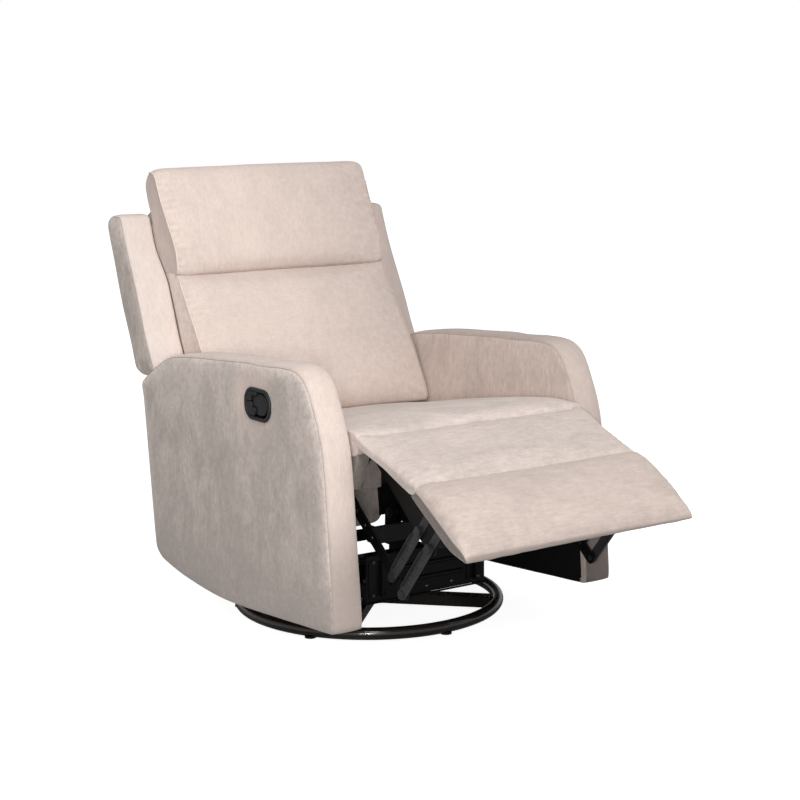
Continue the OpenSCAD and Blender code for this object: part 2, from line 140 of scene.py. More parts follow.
def fill(P, step, offs=(), holes=()):
    """Triangles that fill outline P. Returns points (the outline first, then holes, then the rest) and triangles."""
    pts = [P] + [np.asarray(h) for h in holes]
    edges, base = [], 0
    for L in pts:
        m = len(L)
        edges += [(base + k, base + (k + 1) % m) for k in range(m)]
        base += m
    fixed = np.concatenate(pts)
    extra = []
    nrm = normals2(P)
    for o in offs:
        R = P - nrm * o
        R = R[inside(R, P)]
        extra.append(R[edge_distance(R, P) > o * 0.96])
        for h in holes:
            R = h + normals2(h) * o
            extra.append(R)
    keep_off = (offs[-1] if len(offs) else 0) + step * 0.62
    lo, hi = P.min(0), P.max(0)
    ys = np.arange(lo[0], hi[0], step)
    zs = np.arange(lo[1], hi[1], step * 0.866)
    G = np.array([(y + (0.5 * step if k % 2 else 0), z) for k, z in enumerate(zs) for y in ys])
    G = G[inside(G, P)]
    if len(G):
        G = G[edge_distance(G, P) > keep_off]
        for h in holes:
            G = G[~inside(G, h)]
            G = G[edge_distance(G, h) > keep_off]
        extra.append(G)
    allp = np.concatenate([fixed] + extra)
    res = delaunay_2d_cdt([Vector(p) for p in allp], edges, [], 0, 1e-4)
    verts, faces, orig = res[0], res[2], res[3]
    back = {}
    for i, o in enumerate(orig):
        for k in o:
            back[k] = i
    V = np.array([v[:] for v in verts])
    order = [back[k] for k in range(len(fixed))]
    used = set(order)
    rest = [i for i in range(len(V)) if i not in used]
    new = {}
    for k, i in enumerate(order + rest):
        new.setdefault(i, k)
    W = V[order + rest]
    tri = np.array([[new[i] for i in f] for f in faces if len(f) == 3], int)
    C = W[tri].mean(1)
    ok = inside(C, P)
    for h in holes:
        ok &= ~inside(C, h)
    tri = tri[ok]
    q = W[tri]
    s = (q[:, 1, 0] - q[:, 0, 0]) * (q[:, 2, 1] - q[:, 0, 1]) - (q[:, 2, 0] - q[:, 0, 0]) * (q[:, 1, 1] - q[:, 0, 1])
    tri[s < 0] = tri[s < 0][:, ::-1]
    T = tri.tolist()
    return W, T


# ------------------------------------------------------------------ meshes

def make(name, V, F, smooth=True, mats=(), fmat=None):
    me = bpy.data.meshes.new(name)
    me.from_pydata((np.asarray(V, float) * 0.001).tolist(), [], [tuple(int(i) for i in f) for f in F])
    for m in mats:
        me.materials.append(m)
    me.polygons.foreach_set("use_smooth", np.full(len(me.polygons), smooth))
    if fmat is not None:
        me.polygons.foreach_set("material_index", np.asarray(fmat, np.int32))
    me.update()
    o = bpy.data.objects.new(name, me)
    scene.collection.objects.link(o)
    return o


def coords(o):
    co = np.zeros(len(o.data.vertices) * 3)
    o.data.vertices.foreach_get("co", co)
    return co.reshape(-1, 3) * 1000


def set_coords(o, V):
    o.data.vertices.foreach_set("co", (np.asarray(V) * 0.001).ravel())
    o.data.update()


def vnormals(o):
    n = np.zeros(len(o.data.vertices) * 3)
    o.data.vertices.foreach_get("normal", n)
    return n.reshape(-1, 3)


def mirrored(o, name):
    """The same piece on the other side of the chair."""
    V = coords(o)
    V[:, 0] *= -1
    me = o.data
    F = [tuple(p.vertices)[::-1] for p in me.polygons]
    idx = [p.material_index for p in me.polygons]
    m = make(name, V, F, True, list(me.materials), idx)
    if "tone" in me.color_attributes:
        c = np.zeros(len(V) * 4)
        me.color_attributes["tone"].data.foreach_get("color", c)
        m.data.color_attributes.new("tone", "FLOAT_COLOR", "POINT").data.foreach_set("color", c)
    return m


class Slab:
    """An outline in Y and Z made solid across X, with a seam around each side panel."""

    def __init__(self, outline, x0, x1, step, us, offs=(), holes0=()):
        P = curve(outline, step)
        if area2(P) < 0:
            P = P[::-1]
        self.P = P
        n = len(P)
        W0, T0 = fill(P, step, offs, holes0)
        W1, T1 = fill(P, step, offs)
        V = [np.column_stack([np.full(len(W0), x0), W0])]
        self.kind = [np.zeros(len(W0), int)]
        off1 = len(W0)
        V.append(np.column_stack([np.full(len(W1), x1), W1]))
        self.kind.append(np.ones(len(W1), int))
        rings = [np.arange(n)]
        base = off1 + len(W1)
        self.u = [np.zeros(len(W0)), np.ones(len(W1))]
        for u in us:
            V.append(np.column_stack([np.full(n, x0 + (x1 - x0) * u), P]))
            self.kind.append(np.full(n, 2))
            self.u.append(np.full(n, u))
            rings.append(np.arange(base, base + n))
            base += n
        rings.append(off1 + np.arange(n))
        self.rings = np.array(rings)
        self.V = np.concatenate(V)
        self.kind = np.concatenate(self.kind)
        self.u = np.concatenate(self.u)
        F, fm = [], []
        up = x1 > x0
        for t in T0:
            F.append(t[::-1] if up else t); fm.append(0)
        for t in T1:
            t = [i + off1 for i in t]
            F.append(t if up else t[::-1]); fm.append(1)
        for a, b in zip(rings[:-1], rings[1:]):
            for k in range(n):
                q = [a[k], a[(k + 1) % n], b[(k + 1) % n], b[k]]
                F.append(q if up else q[::-1]); fm.append(2)
        self.F, self.fm = F, np.array(fm)
        self.n = n
        self.off1 = off1
        self.d = np.zeros(len(self.V))
        pan = self.kind < 2
        self.d[pan] = edge_distance(self.V[pan][:, 1:], P)
        self.nrm = np.zeros((len(self.V), 3))
        nn = normals2(P)
        for r in self.rings:
            self.nrm[r, 1:] = nn
        arc = np.concatenate([[0], np.cumsum(np.linalg.norm(np.diff(P, axis=0), axis=1))])
        self.arc = arc
        for r in self.rings:
            pass

    def object(self, name, mats, fmat=None):
        o = make(name, self.V, self.F, True, mats, fmat)
        return o


def fix_normals(o):
    bm = bmesh.new()
    bm.from_mesh(o.data)
    bmesh.ops.recalc_face_normals(bm, faces=bm.faces)
    bm.to_mesh(o.data)
    bm.free()


def inflate(o, pins, crown, pressure=4.0, frames=20, stiff=15.0, bend=2.0, quality=5, soften=0):
    """Cloth pressure on the piece, then its movement is scaled so that the most is crown millimetres."""
    rest = coords(o)
    g = o.vertex_groups.new(name="pin")
    g.add([int(i) for i in pins], 1.0, "REPLACE")
    m = o.modifiers.new("Cloth", "CLOTH")
    s = m.settings
    s.quality = quality
    s.mass = 0.3
    s.tension_stiffness = stiff
    s.compression_stiffness = stiff
    s.shear_stiffness = stiff * 0.4
    s.bending_stiffness = bend
    s.use_pressure = True
    s.uniform_pressure_force = pressure
    s.effector_weights.gravity = 0
    s.vertex_group_mass = "pin"
    m.collision_settings.use_collision = False
    m.collision_settings.use_self_collision = False
    m.point_cache.frame_start = 1
    m.point_cache.frame_end = frames
    for f in range(1, frames + 1):
        scene.frame_set(f)
    ev = o.evaluated_get(bpy.context.evaluated_depsgraph_get())
    me = ev.to_mesh()
    co = np.zeros(len(me.vertices) * 3)
    me.vertices.foreach_get("co", co)
    co = co.reshape(-1, 3) * 1000
    ev.to_mesh_clear()
    o.modifiers.remove(m)
    o.vertex_groups.remove(g)
    scene.frame_set(1)
    d = co - rest
    L = np.linalg.norm(d, axis=1)
    top = np.percentile(L, 99.5)
    if top > 1e-6:
        d = d * (crown / top)
    L = np.linalg.norm(d, axis=1)
    cap = crown * 1.1
    d = d * np.minimum(1.0, cap / np.maximum(L, 1e-9))[:, None]
    return rest, d


def subdivide(o, levels=1):
    m = o.modifiers.new("Sub", "SUBSURF")
    m.levels = m.render_levels = levels
    m.boundary_smooth = "PRESERVE_CORNERS"
    ev = o.evaluated_get(bpy.context.evaluated_depsgraph_get())
    me = bpy.data.meshes.new_from_object(ev)
    o.modifiers.remove(m)
    old = o.data
    o.data = me
    bpy.data.meshes.remove(old)


def groove(V, N, line, depth, width):
    """Push V in along N near a line of points."""
    d = edge_distance3(V, line)
    return V - N * (depth * np.exp(-((d / width) ** 2)))[:, None]


def edge_distance3(Q, line):
    best = np.full(len(Q), 1e9)
    lo, hi = line.min(0) - 30, line.max(0) + 30
    near = np.all((Q > lo) & (Q < hi), axis=1)
    R = Q[near]
    b2 = np.full(len(R), 1e9)
    for a, b in zip(line[:-1], line[1:]):
        d = b - a
        t = np.clip(((R - a) @ d) / max(1e-9, d @ d), 0, 1)
        b2 = np.minimum(b2, np.linalg.norm(R - a - t[:, None] * d, axis=1))
    best[near] = b2
    return best


def tube(name, line, r, sides=8, mats=(), closed=False, squash=1.0):
    """A round bead along a line of points, such as a welt in a seam or a wire."""
    line = np.asarray(line, float)
    n = len(line)
    if closed:
        t = np.roll(line, -1, 0) - np.roll(line, 1, 0)
    else:
        t = np.gradient(line, axis=0)
    t /= np.maximum(1e-9, np.linalg.norm(t, axis=1))[:, None]
    ref = np.array([1.0, 0, 0])
    a = np.cross(t, ref)
    bad = np.linalg.norm(a, axis=1) < 0.15
    a[bad] = np.cross(t[bad], np.array([0, 0, 1.0]))
    a /= np.linalg.norm(a, axis=1)[:, None]
    for i in range(1, n):
        v = a[i - 1] - t[i] * (a[i - 1] @ t[i])
        a[i] = v / max(1e-9, np.linalg.norm(v))
    b = np.cross(t, a)
    rr = np.broadcast_to(np.asarray(r, float), (n,))
    V, F = [], []
    for i in range(n):
        for j in range(sides):
            w = 2 * math.pi * j / sides
            V.append(line[i] + rr[i] * (math.cos(w) * a[i] + squash * math.sin(w) * b[i]))
    last = n if closed else n - 1
    for i in range(last):
        k = (i + 1) % n
        for j in range(sides):
            F.append((i * sides + j, k * sides + j, k * sides + (j + 1) % sides, i * sides + (j + 1) % sides))
    if not closed:
        F.append(tuple(range(sides))[::-1])
        F.append(tuple((n - 1) * sides + j for j in range(sides)))
    o = make(name, V, F, True, mats)
    fix_normals(o)
    return o


# ------------------------------------------------------------------ materials

def nodes_of(name):
    m = bpy.data.materials.new(name)
    m.use_nodes = True
    t = m.node_tree
    t.nodes.clear()
    out = t.nodes.new("ShaderNodeOutputMaterial")
    b = t.nodes.new("ShaderNodeBsdfPrincipled")
    t.links.new(b.outputs[0], out.inputs[0])
    return m, t, b


def link(t, a, b):
    t.links.new(a, b)


def coord(t, scale, rot=(0, 0, 0)):
    c = t.nodes.new("ShaderNodeTexCoord")
    m = t.nodes.new("ShaderNodeMapping")
    m.inputs["Scale"].default_value = scale
    m.inputs["Rotation"].default_value = rot
    link(t, c.outputs["Object"], m.inputs["Vector"])
    return m.outputs["Vector"]


def noise(t, vec, scale, detail=2.0, rough=0.5, dist=0.0):
    n = t.nodes.new("ShaderNodeTexNoise")
    n.inputs["Scale"].default_value = scale
    n.inputs["Detail"].default_value = detail
    n.inputs["Roughness"].default_value = rough
    n.inputs["Distortion"].default_value = dist
    link(t, vec, n.inputs["Vector"])
    return n.outputs["Fac"]


def ramp(t, fac, stops):
    r = t.nodes.new("ShaderNodeValToRGB")
    e = r.color_ramp.elements
    while len(e) > 1:
        e.remove(e[-1])
    for i, (p, c) in enumerate(stops):
        x = e[0] if i == 0 else e.new(p)
        x.position = p
        x.color = (*c, 1) if len(c) == 3 else c
    link(t, fac, r.inputs["Fac"])
    return r.outputs["Color"]


def math_node(t, op, a, b=None, clamp=False):
    n = t.nodes.new("ShaderNodeMath")
    n.operation = op
    n.use_clamp = clamp
    for i, v in enumerate((a, b)):
        if v is None:
            continue
        if isinstance(v, (int, float)):
            n.inputs[i].default_value = v
        else:
            link(t, v, n.inputs[i])
    return n.outputs[0]


def mix_color(t, fac, a, b, mode="MIX"):
    n = t.nodes.new("ShaderNodeMix")
    n.data_type = "RGBA"
    n.blend_type = mode
    n.clamp_result = True
    if isinstance(fac, (int, float)):
        n.inputs[0].default_value = fac
    else:
        link(t, fac, n.inputs[0])
    for i, v in ((6, a), (7, b)):
        if isinstance(v, (tuple, list)):
            n.inputs[i].default_value = (*v[:3], 1)
        else:
            link(t, v, n.inputs[i])
    return n.outputs[2]


def bump(t, height, strength, distance, normal=None):
    n = t.nodes.new("ShaderNodeBump")
    n.inputs["Strength"].default_value = strength
    n.inputs["Distance"].default_value = distance
    link(t, height, n.inputs["Height"])
    if normal is not None:
        link(t, normal, n.inputs["Normal"])
    return n.outputs["Normal"]


def scaled(c, k):
    return tuple(min(1.0, x * k) for x in c)


def fabric(name, base, nap, rib, cloud=0.10, streak=0.14, sheen=0.35, patch=14.0, rib_amount=0.10, toned=False, deep=0.66):
    """Chenille. nap is the stretch of the brushed streaks along X, Y, Z; rib the direction that the fine ribs run."""
    m, t, b = nodes_of(name)
    # brushed streaks, long along the nap
    s1 = noise(t, coord(t, nap), 1.0, 5.0, 0.68, 0.35)
    # cloudy patches where the pile lies another way
    s2 = noise(t, coord(t, tuple(0.55 + 0.45 * (x / max(nap)) for x in nap)), patch, 4.0, 0.62, 0.8)
    s3 = noise(t, coord(t, (1, 1, 1)), patch * 5.3, 4.0, 0.66, 0.4)
    # fine ribs and yarns of the weave
    s4 = noise(t, coord(t, rib), 1.0, 3.0, 0.62, 0.0)
    s5 = noise(t, coord(t, tuple(x * 0.42 for x in rib)), 1.0, 3.0, 0.62, 0.15)
    fine = noise(t, coord(t, (1, 1, 1)), 1300.0, 3.0, 0.65)
    light, dark = scaled(base, 1.0 + streak), scaled(base, 1.0 - streak)
    c = ramp(t, s1, [(0.34, dark), (0.50, base), (0.66, light)])
    c2 = ramp(t, s2, [(0.36, (1 - 1.5 * cloud,) * 3), (0.50, (1 - 0.6 * cloud,) * 3), (0.62, (1.0, 1.0, 1.0))])
    c = mix_color(t, 1.0, c, c2, "MULTIPLY")
    c3 = ramp(t, s3, [(0.38, (1 - 0.8 * cloud, 1 - 0.9 * cloud, 1 - 1.0 * cloud)), (0.60, (1.0, 1.0, 1.0))])
    c = mix_color(t, 1.0, c, c3, "MULTIPLY")
    c4 = ramp(t, s4, [(0.36, (1 - rib_amount,) * 3), (0.60, (1.0, 1.0, 1.0))])
    c = mix_color(t, 1.0, c, c4, "MULTIPLY")
    c5 = ramp(t, s5, [(0.36, (1 - 0.7 * rib_amount,) * 3), (0.60, (1.0, 1.0, 1.0))])
    c = mix_color(t, 1.0, c, c5, "MULTIPLY")
    # the tone attribute paints light and shade into the colour: red mixes in a painted highlight, green a warmer tint,
    # blue a painted shade as dark as deep sets
    if toned:
        at = t.nodes.new("ShaderNodeAttribute")
        at.attribute_name = "tone"
        sp = t.nodes.new("ShaderNodeSeparateColor")
        link(t, at.outputs["Color"], sp.inputs[0])
        painted_highlight = math_node(t, "MULTIPLY", sp.outputs[0], ramp(t, s3, [(0.3, (0.35,) * 3), (0.6, (1,) * 3)]))
        c = mix_color(t, painted_highlight, c, scaled(base, 1.34))
        warm = math_node(t, "MULTIPLY", sp.outputs[1], ramp(t, s2, [(0.3, (0.4,) * 3), (0.6, (1,) * 3)]))
        c = mix_color(t, warm, c, (base[0] * 1.12, base[1] * 1.02, base[2] * 0.96))
        shade = math_node(t, "MULTIPLY", sp.outputs[2], ramp(t, s3, [(0.3, (1,) * 3), (0.62, (0.55 if deep > 0.6 else 0.92,) * 3)]))
        c = mix_color(t, shade, c, scaled(base, deep))
    link(t, c, b.inputs["Base Color"])
    r = t.nodes.new("ShaderNodeMapRange")
    r.inputs["To Min"].default_value = 0.78
    r.inputs["To Max"].default_value = 0.98
    link(t, s2, r.inputs["Value"])
    link(t, r.outputs[0], b.inputs["Roughness"])
    b.inputs["Specular IOR Level"].default_value = 0.22
    b.inputs["Sheen Weight"].default_value = sheen
    b.inputs["Sheen Roughness"].default_value = 0.42
    b.inputs["Sheen Tint"].default_value = (1.0, 0.95, 0.91, 1)
    n1 = bump(t, s4, 0.34, 0.0007)
    n2 = bump(t, s5, 0.26, 0.0012, n1)
    n3 = bump(t, s1, 0.16, 0.0008, n2)
    n4 = bump(t, fine, 0.34, 0.0004, n3)
    link(t, n4, b.inputs["Normal"])
    return m


CREAM = (0.715, 0.600, 0.545)
# TAUPE is the same chenille a little greyer and darker: in part the side panels' own tone, in part painted shade for
# faces turned from the light
TAUPE = (0.66, 0.575, 0.53)

# nap directions: streaks are long along Z on upright faces and along Y or X on level ones
# each part gets its own copy of the chenille, its brightness set for how that face meets the light: the darker copies
# are painted shade, the lighter ones painted light
F_back = fabric("chenille_back", scaled(CREAM, 0.98), (190, 90, 30), (75, 520, 900), cloud=0.045, streak=0.035, rib_amount=0.075, toned=True)
F_head = fabric("chenille_head", CREAM, (190, 90, 24), (900, 400, 80), cloud=0.045, streak=0.045, rib_amount=0.075, toned=True)
F_seat = fabric("chenille_seat", (0.68, 0.59, 0.55), (30, 110, 110), (60, 620, 620), cloud=0.10, streak=0.055, rib_amount=0.09)
F_bridge = fabric("chenille_bridge", (0.625, 0.540, 0.500), (30, 110, 110), (60, 620, 620), cloud=0.09, streak=0.055, rib_amount=0.09, toned=True)
F_pad = fabric("chenille_pad", scaled(CREAM, 0.80), (30, 110, 110), (60, 620, 620), cloud=0.07, streak=0.05, rib_amount=0.09, toned=True, deep=0.52)
F_band = fabric("chenille_band", scaled(CREAM, 0.965), (190, 90, 34), (900, 500, 60), cloud=0.045, streak=0.04, rib_amount=0.07, toned=True, deep=0.47)
# painted shade: the far arm's band is a darker copy of the band
F_far_band_shaded = fabric("chenille_far_band_painted_shade", scaled(CREAM, 0.76), (190, 90, 34), (900, 500, 60), cloud=0.055, streak=0.045, rib_amount=0.07, toned=True, deep=0.25)
# painted light on the near wing, a lighter copy, and painted shade on the far wing, a darker copy
F_wing = fabric("chenille_wing", (0.735, 0.637, 0.586), (190, 90, 30), (900, 500, 60), cloud=0.04, streak=0.04, rib_amount=0.07)
F_far_wing_shaded = fabric("chenille_far_wing_painted_shade", scaled(CREAM, 0.74), (190, 90, 30), (900, 500, 60), cloud=0.04, streak=0.04, rib_amount=0.07)
F_inner = fabric("chenille_inner", scaled(CREAM, 0.97), (90, 170, 38), (300, 800, 70), cloud=0.10, streak=0.08, rib_amount=0.10)
F_side = fabric("chenille_side", scaled(TAUPE, 0.955), (90, 170, 40), (300, 760, 70), cloud=0.14, streak=0.085, rib_amount=0.12, patch=17.0, sheen=0.45, toned=True, deep=0.605)
# painted shade: the footrest pad's sides are a much darker copy
F_shaded_pad_side = fabric("chenille_shaded_pad_side", scaled(TAUPE, 0.34), (30, 110, 110), (60, 620, 620), cloud=0.09, streak=0.07, rib_amount=0.10)
# painted shade: the cloth on the boards under the seat is a darker copy, for the shade between the arms and the
# footrest
F_shaded_wrap = fabric("chenille_shaded_wrap", scaled(TAUPE, 0.40), (170, 90, 40), (760, 300, 70), cloud=0.13, streak=0.085, rib_amount=0.12)
# painted light: the lower back panel's front face is a lighter copy, for the shaded cavity under the seat
F_lit_lower = fabric("chenille_lit_lower", scaled(TAUPE, 1.40), (170, 90, 40), (760, 300, 70), cloud=0.13, streak=0.085, rib_amount=0.12)
F_rear = fabric("chenille_rear", scaled(TAUPE, 1.03), (170, 90, 40), (760, 300, 70), cloud=0.13, streak=0.085, rib_amount=0.12, sheen=0.45)


def lining(name, base):
    m, t, b = nodes_of(name)
    v = coord(t, (1, 1, 1))
    w1 = noise(t, coord(t, (900, 900, 120)), 1.0, 2.0)
    w2 = noise(t, v, 14.0, 3.0)
    c = ramp(t, w1, [(0.3, scaled(base, 0.6)), (0.7, scaled(base, 1.5))])
    c2 = ramp(t, w2, [(0.3, (0.7, 0.7, 0.7)), (0.7, (1, 1, 1))])
    link(t, mix_color(t, 1.0, c, c2, "MULTIPLY"), b.inputs["Base Color"])
    b.inputs["Roughness"].default_value = 0.9
    b.inputs["Specular IOR Level"].default_value = 0.2
    link(t, bump(t, w1, 0.3, 0.0003, bump(t, w2, 0.4, 0.004)), b.inputs["Normal"])
    return m


M_lining = lining("dust_lining", (0.005, 0.005, 0.0055))


def metal(name, base, rough=(0.30, 0.5), metallic=0.0, coat=0.0, wear=0.0, spec=0.5, bare=(0.35, 0.33, 0.31)):
    m, t, b = nodes_of(name)
    v = coord(t, (1, 1, 1))
    big = noise(t, v, 22.0, 4.0, 0.6)
    fine = noise(t, v, 900.0, 2.0, 0.6)
    scr = noise(t, coord(t, (30, 600, 600)), 1.0, 3.0, 0.7)
    c = ramp(t, big, [(0.3, scaled(base, 0.75)), (0.7, scaled(base, 1.25))])
    if wear > 0:
        w = ramp(t, scr, [(0.0, (0, 0, 0)), (0.72, (0, 0, 0)), (0.80, (wear, wear, wear))])
        c = mix_color(t, w, c, bare)
    link(t, c, b.inputs["Base Color"])
    r = t.nodes.new("ShaderNodeMapRange")
    r.inputs["To Min"].default_value = rough[0]
    r.inputs["To Max"].default_value = rough[1]
    link(t, big, r.inputs["Value"])
    link(t, r.outputs[0], b.inputs["Roughness"])
    b.inputs["Metallic"].default_value = metallic
    b.inputs["Specular IOR Level"].default_value = spec
    if coat:
        b.inputs["Coat Weight"].default_value = coat
        b.inputs["Coat Roughness"].default_value = 0.12
    link(t, bump(t, fine, 0.12, 0.0002, bump(t, big, 0.10, 0.0015)), b.inputs["Normal"])
    return m


M_black = metal("black_enamel", (0.0045, 0.0045, 0.005), (0.36, 0.55), wear=0.06, spec=0.16, bare=(0.10, 0.10, 0.10))
M_link = metal("link_enamel", (0.028, 0.029, 0.032), (0.34, 0.50), wear=0.2, spec=0.4)
M_ring = metal("ring_enamel", (0.012, 0.008, 0.0065), (0.16, 0.28), coat=0.6, wear=0.0, spec=0.6)
M_zinc = metal("zinc_plate", (0.42, 0.42, 0.43), (0.30, 0.44), metallic=1.0)
M_rivet = metal("blackened_rivet", (0.055, 0.055, 0.058), (0.30, 0.42), metallic=0.7, wear=0.3)
M_plastic = metal("moulded_plastic", (0.011, 0.011, 0.0115), (0.38, 0.50), spec=0.45)
M_race = metal("nylon", (0.72, 0.71, 0.68), (0.4, 0.55))
M_rubber = metal("rubber", (0.016, 0.016, 0.016), (0.65, 0.85), spec=0.3)
M_cable = metal("cable_sheath", (0.014, 0.014, 0.015), (0.35, 0.45))


def wood_mat(name, base):
    m, t, b = nodes_of(name)
    v = coord(t, (6, 60, 60))
    w = t.nodes.new("ShaderNodeTexWave")
    w.wave_type = "BANDS"
    w.bands_direction = "Y"
    w.inputs["Scale"].default_value = 2.2
    w.inputs["Distortion"].default_value = 6.0
    w.inputs["Detail"].default_value = 3.0
    link(t, v, w.inputs["Vector"])
    g = noise(t, coord(t, (20, 500, 500)), 1.0, 3.0)
    c = ramp(t, w.outputs["Fac"], [(0.1, scaled(base, 0.72)), (0.5, base), (0.9, scaled(base, 1.18))])
    c2 = ramp(t, g, [(0.3, (0.82, 0.80, 0.78)), (0.65, (1, 1, 1))])
    link(t, mix_color(t, 1.0, c, c2, "MULTIPLY"), b.inputs["Base Color"])
    b.inputs["Roughness"].default_value = 0.68
    link(t, bump(t, g, 0.2, 0.0004), b.inputs["Normal"])
    return m


M_wood = wood_mat("raw_pine", (0.56, 0.40, 0.25))

# a lighter welt, painted highlight, on the right-hand seams of the back cushions and a darker one, painted shade, on
# the left-hand seams
M_seam = fabric("welt_painted_highlight", scaled(CREAM, 1.22), (300, 300, 300), (1200, 1200, 1200), cloud=0.03, streak=0.05)
M_shaded_welt = fabric("welt_painted_shade", scaled(CREAM, 0.86), (300, 300, 300), (1200, 1200, 1200), cloud=0.03, streak=0.05)
# painted shadow: a near-black cord for the crease beside the wings
M_painted_crease_shadow = fabric("crease_painted_shadow", scaled(TAUPE, 0.16), (300, 300, 300), (1200, 1200, 1200), cloud=0.03, streak=0.05)
# painted shadow: a darker line along the seams of the arms, the wings and the outside back
M_seam_side = fabric("seam_shadow", scaled(TAUPE, 0.66), (300, 300, 300), (1200, 1200, 1200), cloud=0.03, streak=0.05)

# ------------------------------------------------------------------ CAD nodes that stay

keep = {
    M_ring: ["base_ring", "base_crossbars"],
    M_black: ["swivel_lower_plate", "swivel_upper_plate", "glider_cross_channels", "glider_base_sides", "glider_front_plate",
              "glider_rear_plate", "front_swing_links", "rear_swing_links", "glide_hangers", "frame_cross_tubes",
              "mechanism_plate_left", "mechanism_plate_right", "latch_pawl", "footrest_arms", "drive_links",
              "drive_cross_rail", "recline_brackets"],
    M_link: ["coupler_front", "coupler_rear"],
    M_zinc: ["swivel_king_bolt", "base_bolts", "front_glide_shaft", "rear_glide_shaft", "seat_springs"],
    M_rivet: ["glide_upper_pins", "legrest_pivot_pins", "recline_pivot_pins", "footrest_pins", "drive_pins"],
    M_race: ["swivel_ball_race"],
    M_rubber: ["floor_glides", "glide_bumpers"],
    M_wood: ["seat_side_boards", "seat_end_boards", "arm_frame_left", "arm_frame_right", "rear_rail", "footrest_board",
             "back_posts", "back_rails"],
    M_cable: ["release_cable"],
}
for mat, names in keep.items():
    for n in names:
        for s in nodes[n].material_slots:
            s.material = mat


# ------------------------------------------------------------------ arms

ARM = [
    (-420, 96), (-418, 150), (-407, 250), (-390, 415), (-383, 460), (-371, 502), (-350, 550), (-329, 589),
    (-310, 610), (-280, 624), (-233, 626), (-142, 620), (-86, 619), (26, 611), (133, 603),
    (196, 597), (249, 589), (285, 577), (313, 564), (362, 537), (392, 517), (399, 506),
    (392, 476), (369, 304), (346, 135), (340, 119), (326, 107), (308, 99), (216, 81), (82, 68), (-21, 67),
    (-222, 79), (-292, 84), (-408, 92),
]
HANDLE = (-133.0, 535.0)


def rrect_outline(c, w, h, r, step):
    out = []
    for cx, cy, a0 in ((w / 2 - r, h / 2 - r, 0), (-w / 2 + r, h / 2 - r, 90), (-w / 2 + r, -h / 2 + r, 180), (w / 2 - r, -h / 2 + r, 270)):
        for k in range(9):
            a = math.radians(a0 + 90 * k / 8)
            out.append((c[0] + cx + r * math.cos(a), c[1] + cy + r * math.sin(a)))
    P = np.array(out)
    L = np.concatenate([P, P[:1]])
    s = np.concatenate([[0], np.cumsum(np.linalg.norm(np.diff(L, axis=0), axis=1))])
    m = int(round(s[-1] / step))
    q = np.linspace(0, s[-1], m, endpoint=False)
    return np.column_stack([np.interp(q, s, L[:, 0]), np.interp(q, s, L[:, 1])])


SEAM_U = [1.5 / 71, 3.5 / 71, 7 / 71, 12 / 71, 19 / 71, 27 / 71]
US_ARM = SEAM_U + [0.5] + [1 - u for u in SEAM_U[::-1]]


def seam_dip(d, depth, width):
    return depth * np.exp(-((d / width) ** 2))


